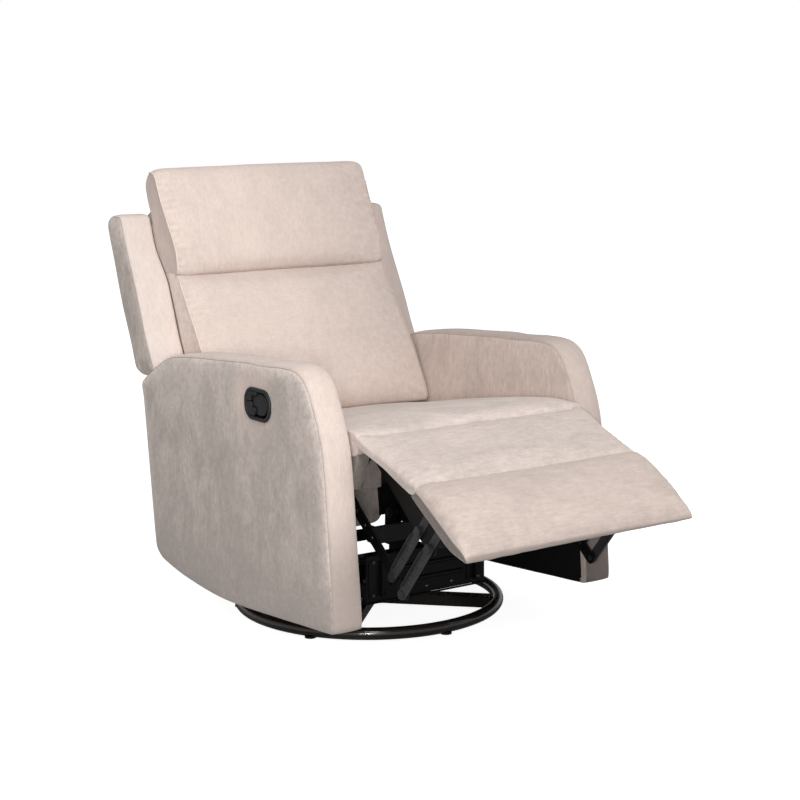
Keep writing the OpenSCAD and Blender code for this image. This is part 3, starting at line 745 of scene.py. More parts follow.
def build_arm(name, handle):
    holes = [rrect_outline(HANDLE, 98.6, 64.6, 20.2, 5.0)] if handle else []
    s = Slab(ARM, -HALF, -ARM_IN, 8.0, US_ARM, (1.5, 3.5, 7.0, 12.0, 15.5), holes)
    V = s.V.copy()
    # the band: crowned across its width, most on the top and the front
    ring = s.kind == 2
    u = s.u
    y, z = V[:, 1], V[:, 2]
    dm = np.minimum(u, 1 - u) * 71.0
    top = ease((z - 120) / 120) * (1 - 0.45 * ease((y - 60) / 200)) * (1 - 0.6 * ease((y - 330) / 40))
    crown = 11.0 * (0.10 + 0.90 * top)
    prof = np.sqrt(np.clip(1 - (1 - np.clip(dm / 35.5, 0, 1)) ** 2.2, 0, 1))
    wob = 0.9 * vnoise(V, 90, 3) + 0.4 * vnoise(V, 34, 4)
    h = crown * prof + wob * prof - 0.0
    V[ring] += (s.nrm * (h - seam_dip(dm, 1.6, 2.0))[:, None])[ring]
    # outer panel: a low puff with a dip at the seam, pressed flat by the handle's rim
    p0 = s.kind == 0
    d = s.d
    db = np.full(len(V), 1e3)
    if handle:
        db = np.maximum(0, edge_distance(V[:, 1:], rrect_outline(HANDLE, 106, 72, 24, 5.0)) * np.where(inside(V[:, 1:], rrect_outline(HANDLE, 106, 72, 24, 5.0)), 0, 1))
    puff = 6.0 * (1 - np.exp(-d / 30)) * (1 - np.exp(-((db / 26) ** 1.5)))
    puff += (1.1 * vnoise(V, 130, 5) + 0.45 * vnoise(V * [1, 1, 0.5], 40, 6)) * ease(d / 40) * (1 - np.exp(-db / 20))
    V[p0, 0] += (-puff + seam_dip(d, 1.5, 2.2))[p0]
    p1 = s.kind == 1
    puff1 = 4.0 * (1 - np.exp(-d / 26)) + 0.8 * vnoise(V, 120, 8) * ease(d / 40)
    above = ease((z - (447 - 0.145 * (y + 392) - 10)) / 40)
    V[p1, 0] += (puff1 * above * 0.55 - seam_dip(d, 1.2, 2.0))[p1]
    seam_pts = s.rings[0]
    V[seam_pts, 0] = -HALF + 1.2
    V[s.rings[-1], 0] = -ARM_IN - 1.0
    # side panels: taupe; band: light; inner panel: black lining low down, behind a wrapped strip
    fm = s.fm.copy()
    C = np.array([V[list(f)].mean(0) for f in s.F])
    inner = fm == 1
    front_y = np.interp(C[:, 2], [90, 150, 250, 415, 460], [-420, -418, -407, -390, -383])
    seat_line = 440 - 0.145 * (C[:, 1] + 392)
    black = inner & (C[:, 1] > front_y + 15.3) & (C[:, 2] < seat_line)
    mat = np.where(fm == 2, 1, np.where(fm == 1, 3, 0))
    mat[black] = 2
    low = (fm == 2) & (C[:, 2] < 100) & (C[:, 1] > -400) & (C[:, 0] > -334)
    mat[low] = 2
    F = list(s.F)
    if handle:
        # turn the edge of the handle's hole inward, under the rim
        n0 = s.n
        nh = len(holes[0])
        base = len(V)
        ring_in = V[n0:n0 + nh].copy()
        ring_in[:, 0] += 7.0
        V = np.concatenate([V, ring_in])
        for k in range(nh):
            F.append([n0 + k, n0 + (k + 1) % nh, base + (k + 1) % nh, base + k])
        mat = np.concatenate([mat, np.zeros(nh, int)])
    o = make(name, V, F, True, [F_side, F_band, M_lining, F_inner], mat)
    fix_normals(o)
    # painted highlight along the seams of the outer panel, a warmer tint round the handle, darker smudges at random and
    # a darker patch ahead of and above the handle
    tone = np.zeros((len(V), 4))
    n = len(s.V)
    tone[:, 3] = 1
    dd = s.d
    smudge = vnoise(s.V * [1, 1, 0.6], 75, 17)
    tone[:n, 0] = np.where(p0, 0.75 * np.exp(-((dd / 20) ** 1.5)) * (0.65 + 0.6 * vnoise(s.V, 60, 18)), 0)
    tone[:n, 2] = np.where(p0, 0.55 * ease((smudge - 0.05) / 0.6) * ease((dd - 12) / 20), 0)
    if handle:
        tone[:n, 1] = np.where(p0, 0.8 * np.exp(-((db / 34) ** 1.3)) * (db > 0), 0)
        tone[:n, 2] += np.where(p0, 0.30 * np.exp(-(((y + 255) / 60) ** 2)) * np.exp(-(((z - 570) / 60) ** 2)), 0)
    # painted shade: the outer panel darker towards the floor, and its painted highlight weaker there
    tone[:n, 2] += np.where(p0, 0.44 * ease((400 - z) / 300) + 0.80 * ease((225 - z) / 120), 0)
    tone[:n, 0] *= np.where(p0, 1 - 0.8 * ease((235 - z) / 110), 1)
    # painted shade: the front of the band darker towards the floor, where the footrest shades it, and the band on the
    # far arm darker along its top
    band = s.kind == 2
    tone[:n, 2] = np.where(band, (0.80 if handle else 1.0) * ease(((385 if handle else 400) - z) / (190 if handle else 160)), tone[:n, 2])
    if not handle:
        tone[:n, 2] += np.where(band, 0.26 * ease((z - 585) / 25) * ease((y + 330) / 120), 0)
    # painted light: the outer panel lighter towards the top
    tone[:n, 0] += np.where(p0, 0.22 * ease((z - 380) / 160), 0)
    at = o.data.color_attributes.new("tone", "FLOAT_COLOR", "POINT")
    at.data.foreach_set("color", np.clip(tone, 0, 1).ravel())
    return o, s, V


arm_r, slab_r, Vr = build_arm("arm_upholstery_right", True)
tmp, slab_l, Vl = build_arm("arm_tmp", False)
arm_l = mirrored(tmp, "arm_upholstery_left")
# painted shade: the far arm gets the darker copy of the band
arm_l.data.materials[1] = F_far_band_shaded
bpy.data.objects.remove(tmp)
for o, side in ((arm_r, "right"), (arm_l, "left")):
    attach(o, "chair")
    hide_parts("arm_outer_panel_" + side, "arm_band_" + side, "arm_inner_panel_" + side)


# painted shadow: a dark line along each arm seam
def seam_cord(name, line, r, mat, body, closed=True):
    o = tube(name, line, r, 6, [mat], closed)
    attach(o, body)
    return o


for side, sg, V, s in (("right", 1, Vr, slab_r), ("left", -1, Vl, slab_l)):
    for tag, ring_i, dx in (("outer", 0, 0.2), ("inner", -1, -0.2)):
        L = V[s.rings[ring_i]].copy()
        L[:, 0] += dx
        L[:, 0] *= sg
        seam_cord("arm_seam_%s_%s" % (tag, side), L, 0.9, M_seam_side, "chair")


# ------------------------------------------------------------------ wings

WING = [
    (352, 570), (362, 590), (378, 622), (402, 684), (428, 748), (462, 822), (485, 880), (489, 891), (500, 896), (526, 896),
    (543, 891), (553, 880), (553, 866), (527, 795), (493, 699), (470, 647), (450, 604), (428, 548), (418, 540), (400, 536),
    (368, 537), (352, 545), (345, 558),
]
US_WING = [1.5 / 76, 4 / 76, 8 / 76, 14 / 76, 22 / 76, 31 / 76, 0.5, 45 / 76, 54 / 76, 62 / 76, 68 / 76, 72 / 76, 74.5 / 76]


def build_wing(name):
    s = Slab(WING, -HALF, -301.0, 7.0, US_WING, (1.5, 3.5, 7.0, 12.0))
    V = s.V.copy()
    y, z = V[:, 1], V[:, 2]
    ring = s.kind == 2
    dm = np.minimum(s.u * 1.0, (1 - s.u) * 2.4) * 76.0
    prof = np.sqrt(np.clip(1 - (1 - np.clip(dm / 22, 0, 1)) ** 2.2, 0, 1))
    wob = 0.8 * vnoise(V, 70, 11) + 0.4 * vnoise(V, 28, 12)
    h = (5.0 + wob) * prof
    # bunched folds where the cover is gathered at the lower corner
    low = np.exp(-(((z - 545) / 26) ** 2)) * ease((470 - y) / 60)
    folds = np.sin((V[:, 0] * 0.9 + y * 0.25) / 2.6 + 1.5 * vnoise(V, 18, 14))
    h = h + low * folds * 4.2 * prof
    V[ring] += (s.nrm * (h - seam_dip(dm, 1.2, 1.8))[:, None])[ring]
    # inner edge of the front face stands a little forward, away from the crevice
    fr = (s.nrm[:, 1] < -0.2)
    lean_in = 23.0 * ease(s.u / 0.8) * (1 - ease((z - 735) / 100)) * ease((z - 545) / 40) * np.clip(-s.nrm[:, 1] * 1.3, 0, 1)
    V[fr, 1] -= lean_in[fr]
    p0 = s.kind == 0
    puff = 5.0 * (1 - np.exp(-s.d / 20)) + (0.8 * vnoise(V, 80, 15) + 0.4 * vnoise(V, 30, 16)) * ease(s.d / 30)
    puff += low * folds * 3.4 * ease(s.d / 6)
    V[p0, 0] += (-puff + seam_dip(s.d, 1.2, 2.0))[p0]
    V[s.rings[0], 0] = -HALF + 1.0
    mat = np.where(s.fm == 2, 1, 0)
    C = np.array([V[list(f)].mean(0) for f in s.F])
    # painted shade: the rear and underside of the band get the darker side fabric
    N = np.array([0.0, 1.0])
    rear = (s.fm == 2) & (C[:, 1] > np.interp(C[:, 2], [540, 600, 700, 880, 910], [395, 420, 462, 535, 536]))
    mat[rear] = 0
    o = make(name, V, s.F, True, [F_side, F_wing], mat)
    fix_normals(o)
    tone = np.zeros((len(V), 4))
    tone[:, 3] = 1
    # painted shade in the hollows of the folds at the lower corner, and painted light towards the top of the outer
    # panel
    tone[:, 2] = 0.9 * low * (folds < 0.1)
    tone[:, 0] = 0.5 * ease((V[:, 2] - 760) / 120) * p0
    at = o.data.color_attributes.new("tone", "FLOAT_COLOR", "POINT")
    at.data.foreach_set("color", np.clip(tone, 0, 1).ravel())
    return o, s, V


wing_r, ws, Vw = build_wing("wing_upholstery_right")
wing_l = mirrored(wing_r, "wing_upholstery_left")
# painted shade: the far wing gets the darker copy
wing_l.data.materials[1] = F_far_wing_shaded
# the left wing stands a little further forward low down, as in the picture
Vwl = coords(wing_l)
wing_shift = lambda P: -15.0 * ease((790 - P[:, 2]) / 170) * ease((P[:, 2] - 500) / 60)
Vwl[:, 1] += wing_shift(Vwl)
set_coords(wing_l, Vwl)
for o, side in ((wing_r, "right"), (wing_l, "left")):
    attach(o, "back")
    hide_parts("wing_" + side)
for side, sg in (("right", 1), ("left", -1)):
    L = Vw[ws.rings[0]].copy()
    L[:, 0] *= sg
    if side == "left":
        L[:, 1] += wing_shift(L)
    # painted shadow line along the wing's outer seam
    seam_cord("wing_seam_" + side, L, 0.8, M_seam_side, "back")
    # painted shadow: a near-black cord where the wing meets the back cushions, for the shade in the crevice
    k = ws.rings[-1]
    L = Vw[k][(ws.nrm[k][:, 1] < -0.2) & (Vw[k][:, 2] > 560) & (Vw[k][:, 2] < 872)]
    L = L[np.argsort(L[:, 2])]
    L[:, 0] = 300.6 * -sg
    L[:, 1] -= 0.2
    if side == "left":
        L[:, 1] += wing_shift(L)
    seam_cord("wing_shadow_cord_" + side, L, 1.5, M_painted_crease_shadow, "back", closed=False)


# ------------------------------------------------------------------ cushions

def backF(z):
    return 265 + (z - 420) * 0.4138


def backO(z):
    return 371 + (z - 400) * 0.387


def cushion(name, outline, hw, step, crown, back_pts, mats, pressure=4.0, frames=20, edge_u=(3, 8, 15), step_x=None,
            side_bulge=0.35, stiff=15.0, bend=2.0):
    """A boxed cushion: outline in Y and Z, half width hw. back_pts tells which outline points rest on the frame."""
    sx = step_x or step
    us = [e / (2 * hw) for e in edge_u]
    k = int(round((2 * hw - 2 * edge_u[-1]) / sx))
    us += list(np.linspace(edge_u[-1] / (2 * hw), 1 - edge_u[-1] / (2 * hw), k + 1)[1:])
    us += [1 - e / (2 * hw) for e in edge_u[::-1][1:]]
    s = Slab(outline, -hw, hw, step, us, (3.5, 8.0))
    V = s.V
    o = make(name, V, s.F, True, mats)
    fix_normals(o)
    on_back = back_pts(V)
    seams = np.zeros(len(V), bool)
    seams[s.rings[0]] = True
    seams[s.rings[-1]] = True
    pins = np.nonzero(on_back | seams)[0]
    rest, d = inflate(o, pins, crown, pressure, frames, stiff, bend)
    d[s.kind < 2] *= side_bulge
    return o, s, rest, d


def puckers(V, N, s, x_edge, yz_line, amount, reach, wave, seed, sharp=1.0):
    """Short gathers that run in from a side seam. yz_line is where they are strong: function of (y, z) giving 0..1."""
    dx = np.abs(np.abs(V[:, 0]) - x_edge)
    arc = np.zeros(len(V))
    P = s.P
    A = s.arc
    Q = V[:, 1:]
    # arc length of the nearest outline point
    step = 400
    for i in range(0, len(Q), 4000):
        D = ((Q[i:i + 4000, None, :] - P[None]) ** 2).sum(2)
        arc[i:i + 4000] = A[np.argmin(D, 1)]
    ph = arc / wave * 2 * math.pi + 2.2 * vnoise(np.column_stack([arc, arc * 0 + seed, dx * 0.4]), 30, seed) + 1.3 * vnoise(np.column_stack([arc, V[:, 0] * 0.15, arc * 0]), 55, seed + 1)
    w = np.sin(ph)
    w = np.sign(w) * np.abs(w) ** 0.8
    ln = reach * (0.65 + 0.5 * vnoise(np.column_stack([arc, arc * 0, arc * 0]), 26, seed + 3))
    fade = np.exp(-((dx / np.maximum(ln, 4)) ** 1.4)) * ease(dx / 3.0)
    side_amt = 0.6 + 0.4 * vnoise(np.column_stack([arc, arc * 0, arc * 0]), 70, seed + 5)
    return N * (amount * w * fade * yz_line * side_amt)[:, None]


def finish_soft(o, body, node):
    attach(o, body)
    if node:
        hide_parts(node)


# head cushion
HEAD = [
    (357, 763), (356, 778), (359, 802), (366, 827), (381, 853), (399, 880), (418, 911), (435, 939), (447, 966), (455, 990),
    (464, 1003), (478, 1007), (492, 1004), (502, 994), (507, 979), (507, 960), (500, 936), (484, 900), (462, 850), (438, 800),
    (421, 763), (395, 760),
]
lo_b = lambda V: (V[:, 1] > np.interp(V[:, 2], [760, 850, 900, 936, 964, 985, 990], [415, 456, 478, 494, 503, 503, 600])) | (V[:, 2] < 764.5) & (V[:, 1] > 385)
head, hs, hr, hd = cushion("head_pillow", HEAD, 300.0, 8.5, 27.0, lo_b, [F_head, F_back], side_bulge=0.12)
fmh = np.where(hs.fm == 2, 0, 1)
head.data.polygons.foreach_set("material_index", fmh.astype(np.int32))
V = hr + hd
set_coords(head, V)
N = vnormals(head)
front = (hs.kind == 2) & (hs.nrm[:, 1] < 0.2)
yl = front * 1.0 * ease((V[:, 2] - 770) / 20) * (1 - ease((V[:, 2] - 960) / 30))
V = V - N * (front * seam_dip(300 - np.abs(V[:, 0]), 1.4, 3.0))[:, None]
V += N * ((0.9 * vnoise(V, 110, 31) + 0.4 * vnoise(V, 40, 32)) * front)[:, None]
# rounded upper corners, small ears at the lower ones, a low crown along the top
ax = np.abs(V[:, 0])
tc = np.clip((ax - 262) / 38, 0, 1)
V[:, 2] -= 11 * (1 - np.sqrt(1 - np.minimum(tc, 1) ** 2 * 0.9999)) * ease((V[:, 2] - 950) / 50)
tc = np.clip((ax - 270) / 30, 0, 1)
V[:, 2] += 8 * (1 - np.sqrt(1 - tc ** 2 * 0.9999)) * (1 - ease((V[:, 2] - 763) / 30))
V[:, 2] += (5 + 2 * np.clip(1 - (V[:, 0] / 300) ** 2, 0, 1) + 1.5 * V[:, 0] / 300) * ease((V[:, 2] - 960) / 45)


def narrow(V):
    """The left edge of the back cushions lies further in round the seam between them."""
    g = ease((V[:, 2] - 440) / 300) * (1 - ease((V[:, 2] - 775) / 215))
    return V[:, 0] - 13.0 * g * ease((V[:, 0] - 120) / 180)


def shade_across(o, amount, gather, depth, side=0.0, extra=0.0):
    """Painted shade: darker from the middle of the cushion to its left edge, in the hollows of the gathers and where
    extra says; painted highlight on the crests of the gathers and, as much as side, on faces turned to -X.
    """
    V, N = coords(o), vnormals(o)
    tone = np.zeros((len(V), 4))
    tone[:, 3] = 1
    tone[:, 2] = amount * ease((V[:, 0] + 130) / 430) + 0.30 * np.clip(-gather / depth, 0, 1) + extra
    tone[:, 0] = 0.20 * np.clip(gather / depth, 0, 1) + side * (N[:, 0] < -0.8)
    at = o.data.color_attributes.new("tone", "FLOAT_COLOR", "POINT")
    at.data.foreach_set("color", np.clip(tone, 0, 1).ravel())


V[:, 0] = narrow(V)
set_coords(head, V)
head_V = V
subdivide(head)
V = coords(head)
N = vnormals(head)
yl = (N[:, 1] < -0.25) * ease((V[:, 2] - 768) / 14) * (1 - ease((V[:, 2] - 975) / 30)) * (1 - 0.55 * ease(V[:, 0] / 60))
D = puckers(V, N, hs, 300, yl, 2.2, 42, 15, 21)
set_coords(head, V + D)
shade_across(head, 0.87, (D * N).sum(1), 1.3)
finish_soft(head, "back", "head_cushion")

# lumbar cushion
LUMBAR = [
    (178, 432), (176, 440), (180, 455), (190, 478), (210, 520), (229, 561), (251, 599), (274, 637), (298, 673), (321, 708),
    (340, 737), (348, 752), (358, 764), (374, 769), (395, 769), (407, 767), (360, 650), (315, 541), (270, 432), (225, 428),
]
lo_l = lambda V: (V[:, 1] > np.interp(V[:, 2], [430, 768], [262, 399])) | (V[:, 2] < 436) & (V[:, 1] > 190)
lumb, ls, lr, ld = cushion("lumbar_pillow", LUMBAR, 300.0, 9.0, 26.0, lo_l, [F_back, F_back], side_bulge=0.1)
V = lr + ld
set_coords(lumb, V)
N = vnormals(lumb)
front = (ls.kind == 2) & (ls.nrm[:, 1] < 0.2)
yl = front * (0.25 + 0.75 * np.exp(-(((V[:, 2] - 738) / 40) ** 2)) * 1.0)
V = V - N * (front * seam_dip(300 - np.abs(V[:, 0]), 1.2, 3.0))[:, None]
V += N * ((0.9 * vnoise(V, 120, 33) + 0.35 * vnoise(V, 45, 34)) * front)[:, None]
V[:, 0] = narrow(V)
set_coords(lumb, V)
lumb_V = V
subdivide(lumb)
V = coords(lumb)
N = vnormals(lumb)
yl = (N[:, 1] < -0.25) * (0.3 + 0.7 * np.exp(-(((V[:, 2] - 730) / 45) ** 2))) * (1 - 0.55 * ease(V[:, 0] / 60))
D = puckers(V, N, ls, 300, yl, 1.9, 36, 17, 41)
set_coords(lumb, V + D)
# painted light on the lumbar's faces turned to -X
shade_across(lumb, 0.87, (D * N).sum(1), 1.2, 0.8)
finish_soft(lumb, "back", "lumbar_cushion")

# welts down both side seams of the back cushions: lighter on the right, a painted highlight, and darker and thinner on
# the left, a painted shade
for nm, s, VV, z0, z1 in (("head", hs, head_V, 768, 1004), ("lumbar", ls, lumb_V, 436, 752)):
    for side, r in (("right", 0), ("left", -1)):
        L = VV[s.rings[r]]
        nn = s.nrm[s.rings[r]]
        ok = (nn[:, 1] < 0.35) & (L[:, 2] > z0) & (L[:, 2] < z1)
        L = L[ok]
        L = L[np.argsort(L[:, 2])]
        L = L + nn[ok][np.argsort(VV[s.rings[r]][ok][:, 2])] * 1.6
        L[:, 0] += np.sign(L[:, 0]) * (0.6 if side == "right" else -0.9)
        if side == "left":
            L = L[L[:, 2] < 970]
        seam_cord("%s_welt_%s" % (nm, side), L, 1.7 if side == "right" else 1.1, M_seam if side == "right" else M_shaded_welt, "back", closed=False)

# seat
SEAT = [
    (-404, 490), (-403, 498), (-396, 504), (-371, 506), (-332, 507), (-297, 505), (-196, 490), (-70, 467), (48, 444), (185, 420), (228, 413),
    (236, 406), (236, 388), (236, 362), (100, 382), (-100, 411), (-340, 446), (-366, 452), (-398, 458), (-404, 468),
]
lo_s = lambda V: (V[:, 2] < 448 - 0.145 * (V[:, 1] + 392) + 6)
seat, ss, sr, sd = cushion("seat_pad", SEAT, 301.0, 9.0, 17.0, lo_s, [F_seat, F_seat], side_bulge=0.15)
V = sr + sd
set_coords(seat, V)
N = vnormals(seat)
topm = (ss.kind == 2) & (ss.nrm[:, 2] > 0.3)
V += N * ((1.2 * vnoise(V, 140, 51) + 0.5 * vnoise(V, 50, 52)) * topm)[:, None]
V[:, 0] *= 1 + 0.014 * ease((-345 - V[:, 1]) / 30)
set_coords(seat, V)
subdivide(seat)
# room in the underside for the ends of the footrest arms, which turn there about the front pins
V = coords(seat)
k = ease((np.abs(V[:, 0]) - 227) / 12) * ease((280 - np.abs(V[:, 0])) / 12) * ease((-350 - V[:, 1]) / 12)
V[:, 2] += np.maximum(478 - V[:, 2], 0) * k
set_coords(seat, V)
finish_soft(seat, "chair", "seat_cushion")

# chaise bridge
BRIDGE = [
    (-403, 486), (-405, 494), (-411, 498), (-430, 493), (-480, 475), (-540, 453), (-575, 440), (-588, 435), (-594, 428),
    (-592, 414), (-580, 408), (-556, 416), (-520, 430), (-470, 452), (-430, 468), (-408, 476),
]


def bridge_low(V):
    return V[:, 2] < np.interp(V[:, 1], [-595, -580, -520, -430, -403], [420, 418, 440, 476, 486])


bridge, bs, br, bd = cushion("chaise_pad", BRIDGE, 297.0, 8.0, 10.0, bridge_low, [F_bridge, F_bridge], side_bulge=0.3, edge_u=(2, 5, 9, 14, 20, 27))
V = br + bd
# the cover rolls over its side edges, so that only a narrow strip stands upright
kx = 1 - np.sqrt(1 - (1 - np.clip((297 - np.abs(br[:, 0])) / 27, 0, 1)) ** 2 * 0.9999)
zb = np.interp(V[:, 1], [-594, -580, -556, -520, -470, -430, -408, -403], [410, 408, 416, 430, 451, 467, 476, 484])
V[:, 2] = np.where(V[:, 2] > zb, zb + (V[:, 2] - zb) * (1 - 0.44 * kx * (1 - 0.6 * ease((V[:, 1] + 440) / 40))), V[:, 2])
set_coords(bridge, V)
N = vnormals(bridge)
topm = (bs.kind == 2) & (bs.nrm[:, 2] > 0.2)
V = V + puckers(V, N, bs, 297, topm * 1.0, 1.9, 28, 17, 61)
V[:, 0] *= 1 + 0.030 * ease((V[:, 1] + 500) / 85)
k = ease((np.abs(V[:, 0]) - 262) / 34) * ease((V[:, 1] + 442) / 32)
V[:, 1] += 16 * k
V[:, 2] += 5 * k
V += N * ((1.0 * vnoise(V, 120, 53) + 0.5 * vnoise(V, 45, 54)) * topm)[:, None]
set_coords(bridge, V)
subdivide(bridge)
V = coords(bridge)
N = vnormals(bridge)
D = puckers(V, N, bs, 299, (N[:, 2] > 0.3) * 1.0, 1.1, 20, 11, 161)
set_coords(bridge, V + D)
shade_across(bridge, 0.0, (D * N).sum(1), 0.8)
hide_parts("chaise_bridge")
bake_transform(bridge)

# footrest pad
Q0 = np.array([-587.0, 426.0])
CC = np.array([-0.8468, -0.5319])
NN = np.array([0.5319, -0.8468])


def fr(s, d):
    p = Q0 + s * CC + d * NN
    return (p[0], p[1])


PAD = [
    fr(3, 4), fr(3, -7), fr(8, -15), fr(22, -22), fr(41, -25), fr(75, -27), fr(109, -28), fr(151, -27), fr(178, -23), fr(195, -17),
    fr(206, -8), fr(212, -1), fr(213, 6), fr(208, 10), fr(198, 13), fr(172, 20), fr(145, 23), fr(80, 23), fr(20, 23), fr(6, 22), fr(3, 14),
]


def pad_low(V):
    d = (V[:, 1:] - Q0) @ NN
    t = (V[:, 1:] - Q0) @ CC
    return d > np.interp(t, [0, 145, 172, 198, 215], [19, 19, 17, 11, 9])


pad, ps, pr, pd_ = cushion("footrest_pad", PAD, 298.0, 8.0, 13.0, pad_low, [F_pad, F_shaded_pad_side], side_bulge=0.12, edge_u=(2, 5, 9, 14, 20, 27, 35))
V = pr + pd_
# the cover rolls over the side edges down to a low seam, and the pad lies a little askew on its frame
ds = (V[:, 1:] - Q0) @ CC
dd = (V[:, 1:] - Q0) @ NN
kx = 1 - np.sqrt(1 - (1 - np.clip((298 - np.abs(pr[:, 0])) / 32, 0, 1)) ** 2 * 0.9999)
db = np.interp(ds, [0, 145, 172, 198, 214], [23, 23, 20, 13, 8])
new = np.where(dd < db, db + (dd - db) * (1 - 0.56 * kx), dd)
new = new - 5.0 * kx * ease((ds - 150) / 55) - 5.0 * (V[:, 0] / 298) * np.clip(ds / 214, 0, 1)
V[:, 1:] += (new - dd)[:, None] * NN
# side faces tuck in over the board below the pad
dd = (V[:, 1:] - Q0) @ NN
side = ps.kind < 2
V[side, 0] -= (np.sign(V[side, 0]) * (0.0 + 2.5 * ease((dd[side] - 2) / 8)))
set_coords(pad, V)
N = vnormals(pad)
topm = (ps.kind == 2) & (((ps.nrm[:, 1:]) @ NN) < 0.25)
ds = (V[:, 1:] - Q0) @ CC
V = V + puckers(V, N, ps, 298, topm * 1.0, 2.0, 26, 18, 71)
# tucks along the front edge, where the cover is pulled under
edge = ps.kind == 2
tuck = np.sin(V[:, 0] / 11.0 + 2.5 * vnoise(np.column_stack([V[:, 0], 0 * ds, 0 * ds]), 60, 74)) * np.exp(-(((ds - 211) / 9) ** 2)) * ease((dd - -14) / 20)
V += N * (0.9 * tuck * edge * (0.5 + 0.5 * vnoise(np.column_stack([V[:, 0], 0 * ds, 0 * ds]), 90, 75)))[:, None]
V += N * ((1.0 * vnoise(V, 120, 55) + 0.5 * vnoise(V, 45, 56)) * topm)[:, None]
set_coords(pad, V)
# painted shade: the pad's side faces get the darker copy
fm = np.where(ps.fm == 2, 0, 1)
pad.data.polygons.foreach_set("material_index", fm.astype(np.int32))
subdivide(pad)
V = coords(pad)
N = vnormals(pad)
D = puckers(V, N, ps, 298, ((N[:, 1:] @ NN) < -0.3) * 1.0, 1.1, 20, 11, 171)
set_coords(pad, V + D)
ds = (V[:, 1:] - Q0) @ CC
dd = (V[:, 1:] - Q0) @ NN
# painted shade along the pad's front edge where the cover rolls under, and in the hollows of the gathers
shade_across(pad, 0.0, (D * N).sum(1), 0.8, 0.0, 0.95 * ease((ds - 201) / 7) * ease((dd + 7) / 6))
finish_soft(pad, "footrest", "footrest_cushion")
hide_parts("footrest_board")


# ------------------------------------------------------------------ outside back

def outside_back():
    # outline seen from behind, x across and t up the slope
    hw, hh = 298.0, 264.0
    P = [(-hw, 350), (-hw, 600), (-hw, 866), (-294, 881), (-284, 889), (-272, 893), (-hh, 902), (-hh, 950), (-257, 974), (-236, 987),
         (0, 990), (236, 987), (257, 974), (hh, 950), (hh, 902), (272, 893), (284, 889), (294, 881), (hw, 866), (hw, 600), (hw, 350),
         (293, 345, 1), (-293, 345, 1)]
    P = curve(P, 9.0)
    if area2(P) < 0:
        P = P[::-1]

    def rear(z):
        return np.where(z < 880, backO(np.minimum(z, 880)), 556.8 - (z - 880) * 0.07)

    def front(z):
        return np.maximum(backF(z) + 2, 250)

    W, T = fill(P, 9.0, (2, 5, 9, 14))
    d = edge_distance(W, P)
    n = len(P)
    y = rear(W[:, 1]) - 5 + 9.0 * (1 - np.exp(-d / 26)) + 1.0 * vnoise(np.column_stack([W, W[:, 0] * 0]), 130, 81) * ease(d / 40)
    V = [np.column_stack([W[:, 0], y, W[:, 1]])]
    F = [t[::-1] for t in T]
    prev = np.arange(n)
    base = len(W)
    nn = normals2(P)
    fy = front(P[:, 1])
    ry = rear(P[:, 1]) - 5
    K = 12
    for k in range(1, K + 1):
        u = k / K
        bul = 4.0 * math.sin(math.pi * min(1.0, u * 1.0)) ** 0.6 if k < K else 0.0
        ring = np.column_stack([P[:, 0] + nn[:, 0] * bul * 0.35, ry + (fy - ry) * u, P[:, 1] + nn[:, 1] * bul * 0.6])
        V.append(ring)
        cur = np.arange(base, base + n)
        base += n
        for i in range(n):
            F.append([prev[i], prev[(i + 1) % n], cur[(i + 1) % n], cur[i]])
        prev = cur
    # front edge turns in over the frame
    ring = V[-1].copy()
    c = np.array([0, 0, 660.0])
    ring[:, 0] *= 0.96
    V.append(ring)
    cur = np.arange(base, base + n)
    for i in range(n):
        F.append([prev[i], prev[(i + 1) % n], cur[(i + 1) % n], cur[i]])
    o = make("outside_back_cover", np.concatenate(V), F, True, [F_rear])
    fix_normals(o)
    L = np.column_stack([P[:, 0], ry + 0.5, P[:, 1]])
    return o, L


ob, obL = outside_back()
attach(ob, "back")
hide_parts("outside_back")
# painted shadow line along the seam of the outside back
seam_cord("outside_back_seam", obL, 1.0, M_seam_side, "back")


# ------------------------------------------------------------------ hard parts in detail

def bevelled(o, width, segments=3, angle=35):
    m = o.modifiers.new("Bevel", "BEVEL")
    m.width = width * 0.001
    m.segments = segments
    m.limit_method = "ANGLE"
    m.angle_limit = math.radians(angle)
    m.harden_normals = False
    ev = o.evaluated_get(bpy.context.evaluated_depsgraph_get())
    me = bpy.data.meshes.new_from_object(ev)
    o.modifiers.remove(m)
    old = o.data
    o.data = me
    bpy.data.meshes.remove(old)


def join(name, parts):
    """One mesh from lists of (vertices, faces)."""
    V, F, b = [], [], 0
    for v, f in parts:
        V.append(np.asarray(v, float))
        F += [tuple(int(i) + b for i in q) for q in f]
        b += len(v)
    return np.concatenate(V), F


def block(outline, x0, x1):
    """Vertices and faces of an outline in Y and Z, made solid across X."""
    P = np.asarray(outline, float)
    if area2(P) < 0:
        P = P[::-1]
    n = len(P)
    V = np.concatenate([np.column_stack([np.full(n, x0), P]), np.column_stack([np.full(n, x1), P])])
    F = [tuple(range(n))[::-1], tuple(range(n, 2 * n))]
    F += [(k, (k + 1) % n, n + (k + 1) % n, n + k) for k in range(n)]
    return V, F


def solid(name, parts, mats, body, bevel=0.8, segments=2, fmat=None, smooth=True):
    V, F = join(name, parts)
    o = make(name, V, F, smooth, mats, fmat)
    fix_normals(o)
    if bevel:
        bevelled(o, bevel, segments)
    for q in o.data.polygons:
        q.use_smooth = True
    o.data.set_sharp_from_angle(angle=math.radians(38))
    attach(o, body)
    return o


